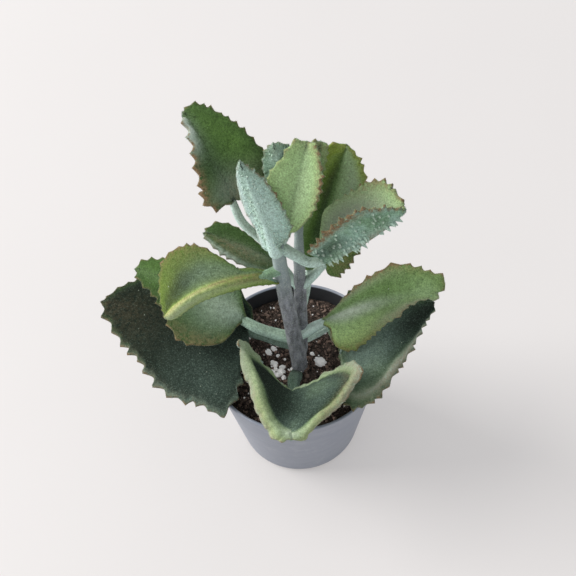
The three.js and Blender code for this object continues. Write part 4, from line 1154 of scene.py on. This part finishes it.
class KALANCHOE_OT_perlite(bpy.types.Operator):
    """White perlite grains that lie half sunk in the soil"""
    bl_idname = "kalanchoe.perlite"
    bl_label = "Perlite grains"

    def execute(self, context):
        scene = context.scene
        draw = np.random.default_rng(21)
        mesh = Mesh()
        for x, y, size in PERLITE:
            mesh.tube(lump(x, y, 0.6, size, draw, rows=14, sides=18, flatness=0.75))
        for _ in range(scene.kalanchoe_sizes.grains):
            reach, around = 45 * math.sqrt(draw.random()), draw.uniform(0, 2 * math.pi)
            size = draw.uniform(0.35, 1.2)
            x, y = reach * math.cos(around), reach * math.sin(around)
            mesh.tube(lump(x, y, 0.4, size, draw, rows=8, sides=10))
        piece = mesh.build("perlite_grains")
        dress(piece, perlite_finish(scene.kalanchoe_look), "potting_mix")
        return {"FINISHED"}


class KALANCHOE_OT_stem(bpy.types.Operator):
    """Main stem and side shoot"""
    bl_idname = "kalanchoe.stem"
    bl_label = "Stem"

    def execute(self, context):
        mesh = Mesh("scar", "hair")
        draw = np.random.default_rng(7)
        for number, stem in enumerate(STEMS):
            rings = sweep(**stem, sides=40, rows=170, side_hint=np.array([1.0, 0, 0]))
            height = rings[..., 2]
            centre = rings.mean(1, keepdims=True)
            swell = 0.35 * sum(np.exp(-((height - z) / 3.0) ** 2) for z in STEM_NODES)
            scar = sum(np.exp(-((height - z) / 0.5) ** 2) for z in STEM_SCARS)
            bark = rough(rings * (1, 1, 0.4), 6, 30 + number) * 0.06
            rings = rings + unit(rings - centre) * (swell + bark - 0.2 * scar)[..., None]
            rings = mesh.skin(rings, scar=scar * (0.5 + 0.5 * noise(rings / 4, 8)))
            mesh.tube(rings)
            add_hairs(mesh, rings, STEM_HAIRS, 1, draw, scar=0, hair=1)
        piece = mesh.build("felted_stem")
        dress(piece, stem_finish(context.scene.kalanchoe_look), "stem_skin", "stem")
        return {"FINISHED"}


class KALANCHOE_OT_leaves(bpy.types.Operator):
    """All leaves, each with its stalk, rib, toothed margin and outgrowths"""
    bl_idname = "kalanchoe.leaves"
    bl_label = "Leaves"

    def execute(self, context):
        finish = leaf_finish(context.scene.kalanchoe_look)
        for seed, (name, leaf) in enumerate(LEAVES.items(), 100):
            dress(leaf_mesh(leaf, seed).build("felt_" + name), finish, "leaf_felt", name)
        return {"FINISHED"}


def area_light(name, place, aim, size, power, tone):
    """A soft square lamp at a place, turned to a point."""
    data = bpy.data.lights.new(name, "AREA")
    data.shape = "SQUARE"
    data.size = size
    data.energy = power
    data.color = tone
    lamp = bpy.data.objects.new(name, data)
    lamp.location = place
    lamp.rotation_euler = (Vector(aim) - Vector(place)).to_track_quat("-Z", "Y").to_euler()
    bpy.context.scene.collection.objects.link(lamp)


class KALANCHOE_OT_stage(bpy.types.Operator):
    """Pale floor, soft light and the camera"""
    bl_idname = "kalanchoe.stage"
    bl_label = "Stage"

    def execute(self, context):
        scene = context.scene
        sizes = scene.kalanchoe_sizes
        mesh = bpy.data.meshes.new("stage_floor")
        corners = [(x * FLOOR_HALF, y * FLOOR_HALF, 0) for x, y in ((-1, -1), (1, -1), (1, 1), (-1, 1))]
        mesh.from_pydata(corners, [], [(0, 1, 2, 3)])
        floor = bpy.data.objects.new("stage_floor", mesh)
        floor.data.materials.append(floor_finish(scene.kalanchoe_look))
        scene.collection.objects.link(floor)
        area_light("window", place=(-3.0, 0.8, 2.2), aim=(0, 0, 0.12), size=2.4, power=170,
                   tone=(1.0, 0.985, 0.96))
        world = bpy.data.worlds.new("daylight")
        world.use_nodes = True
        sky = world.node_tree.nodes["Background"]
        sky.inputs["Color"].default_value = (0.95, 0.97, 1.0, 1)
        sky.inputs["Strength"].default_value = 0.66
        scene.world = world
        scene.view_settings.view_transform = "Standard"
        ahead = Vector((0, math.cos(sizes.pitch), -math.sin(sizes.pitch)))
        level = Vector((1, 0, 0))
        upright = level.cross(ahead)
        right = math.cos(sizes.roll) * level + math.sin(sizes.roll) * upright
        up = math.cos(sizes.roll) * upright - math.sin(sizes.roll) * level
        lens = bpy.data.cameras.new("camera")
        lens.lens = sizes.lens
        lens.sensor_width = 36
        lens.clip_start = 0.01
        camera = bpy.data.objects.new("camera", lens)
        place = Matrix((right, up, -ahead)).transposed().to_4x4()
        place.translation = Vector(sizes.target) - ahead * sizes.distance
        camera.matrix_world = place
        scene.collection.objects.link(camera)
        scene.camera = camera
        return {"FINISHED"}


class KALANCHOE_PT_panel(bpy.types.Panel):
    """Buttons and settings of the plant"""
    bl_idname = "KALANCHOE_PT_panel"
    bl_label = "Potted Kalanchoe"
    bl_space_type = "VIEW_3D"
    bl_region_type = "UI"
    bl_category = "Kalanchoe"

    def draw(self, context):
        layout = self.layout
        for step in STEPS:
            layout.operator(step.bl_idname)
        for group in (context.scene.kalanchoe_sizes, context.scene.kalanchoe_look):
            box = layout.box()
            for name in group.__annotations__:
                box.prop(group, name)


STEPS = (KALANCHOE_OT_stage, KALANCHOE_OT_pot, KALANCHOE_OT_soil, KALANCHOE_OT_perlite, KALANCHOE_OT_stem,
         KALANCHOE_OT_leaves)
CLASSES = (KalanchoeLook, KalanchoeSizes) + STEPS + (KALANCHOE_PT_panel,)


def register():
    for item in CLASSES:
        bpy.utils.register_class(item)
    bpy.types.Scene.kalanchoe_look = bpy.props.PointerProperty(type=KalanchoeLook)
    bpy.types.Scene.kalanchoe_sizes = bpy.props.PointerProperty(type=KalanchoeSizes)


def unregister():
    del bpy.types.Scene.kalanchoe_sizes
    del bpy.types.Scene.kalanchoe_look
    for item in reversed(CLASSES):
        bpy.utils.unregister_class(item)


def main():
    register()
    for step in STEPS:
        group, name = step.bl_idname.split(".")
        getattr(getattr(bpy.ops, group), name)()


if __name__ == "__main__":
    main()
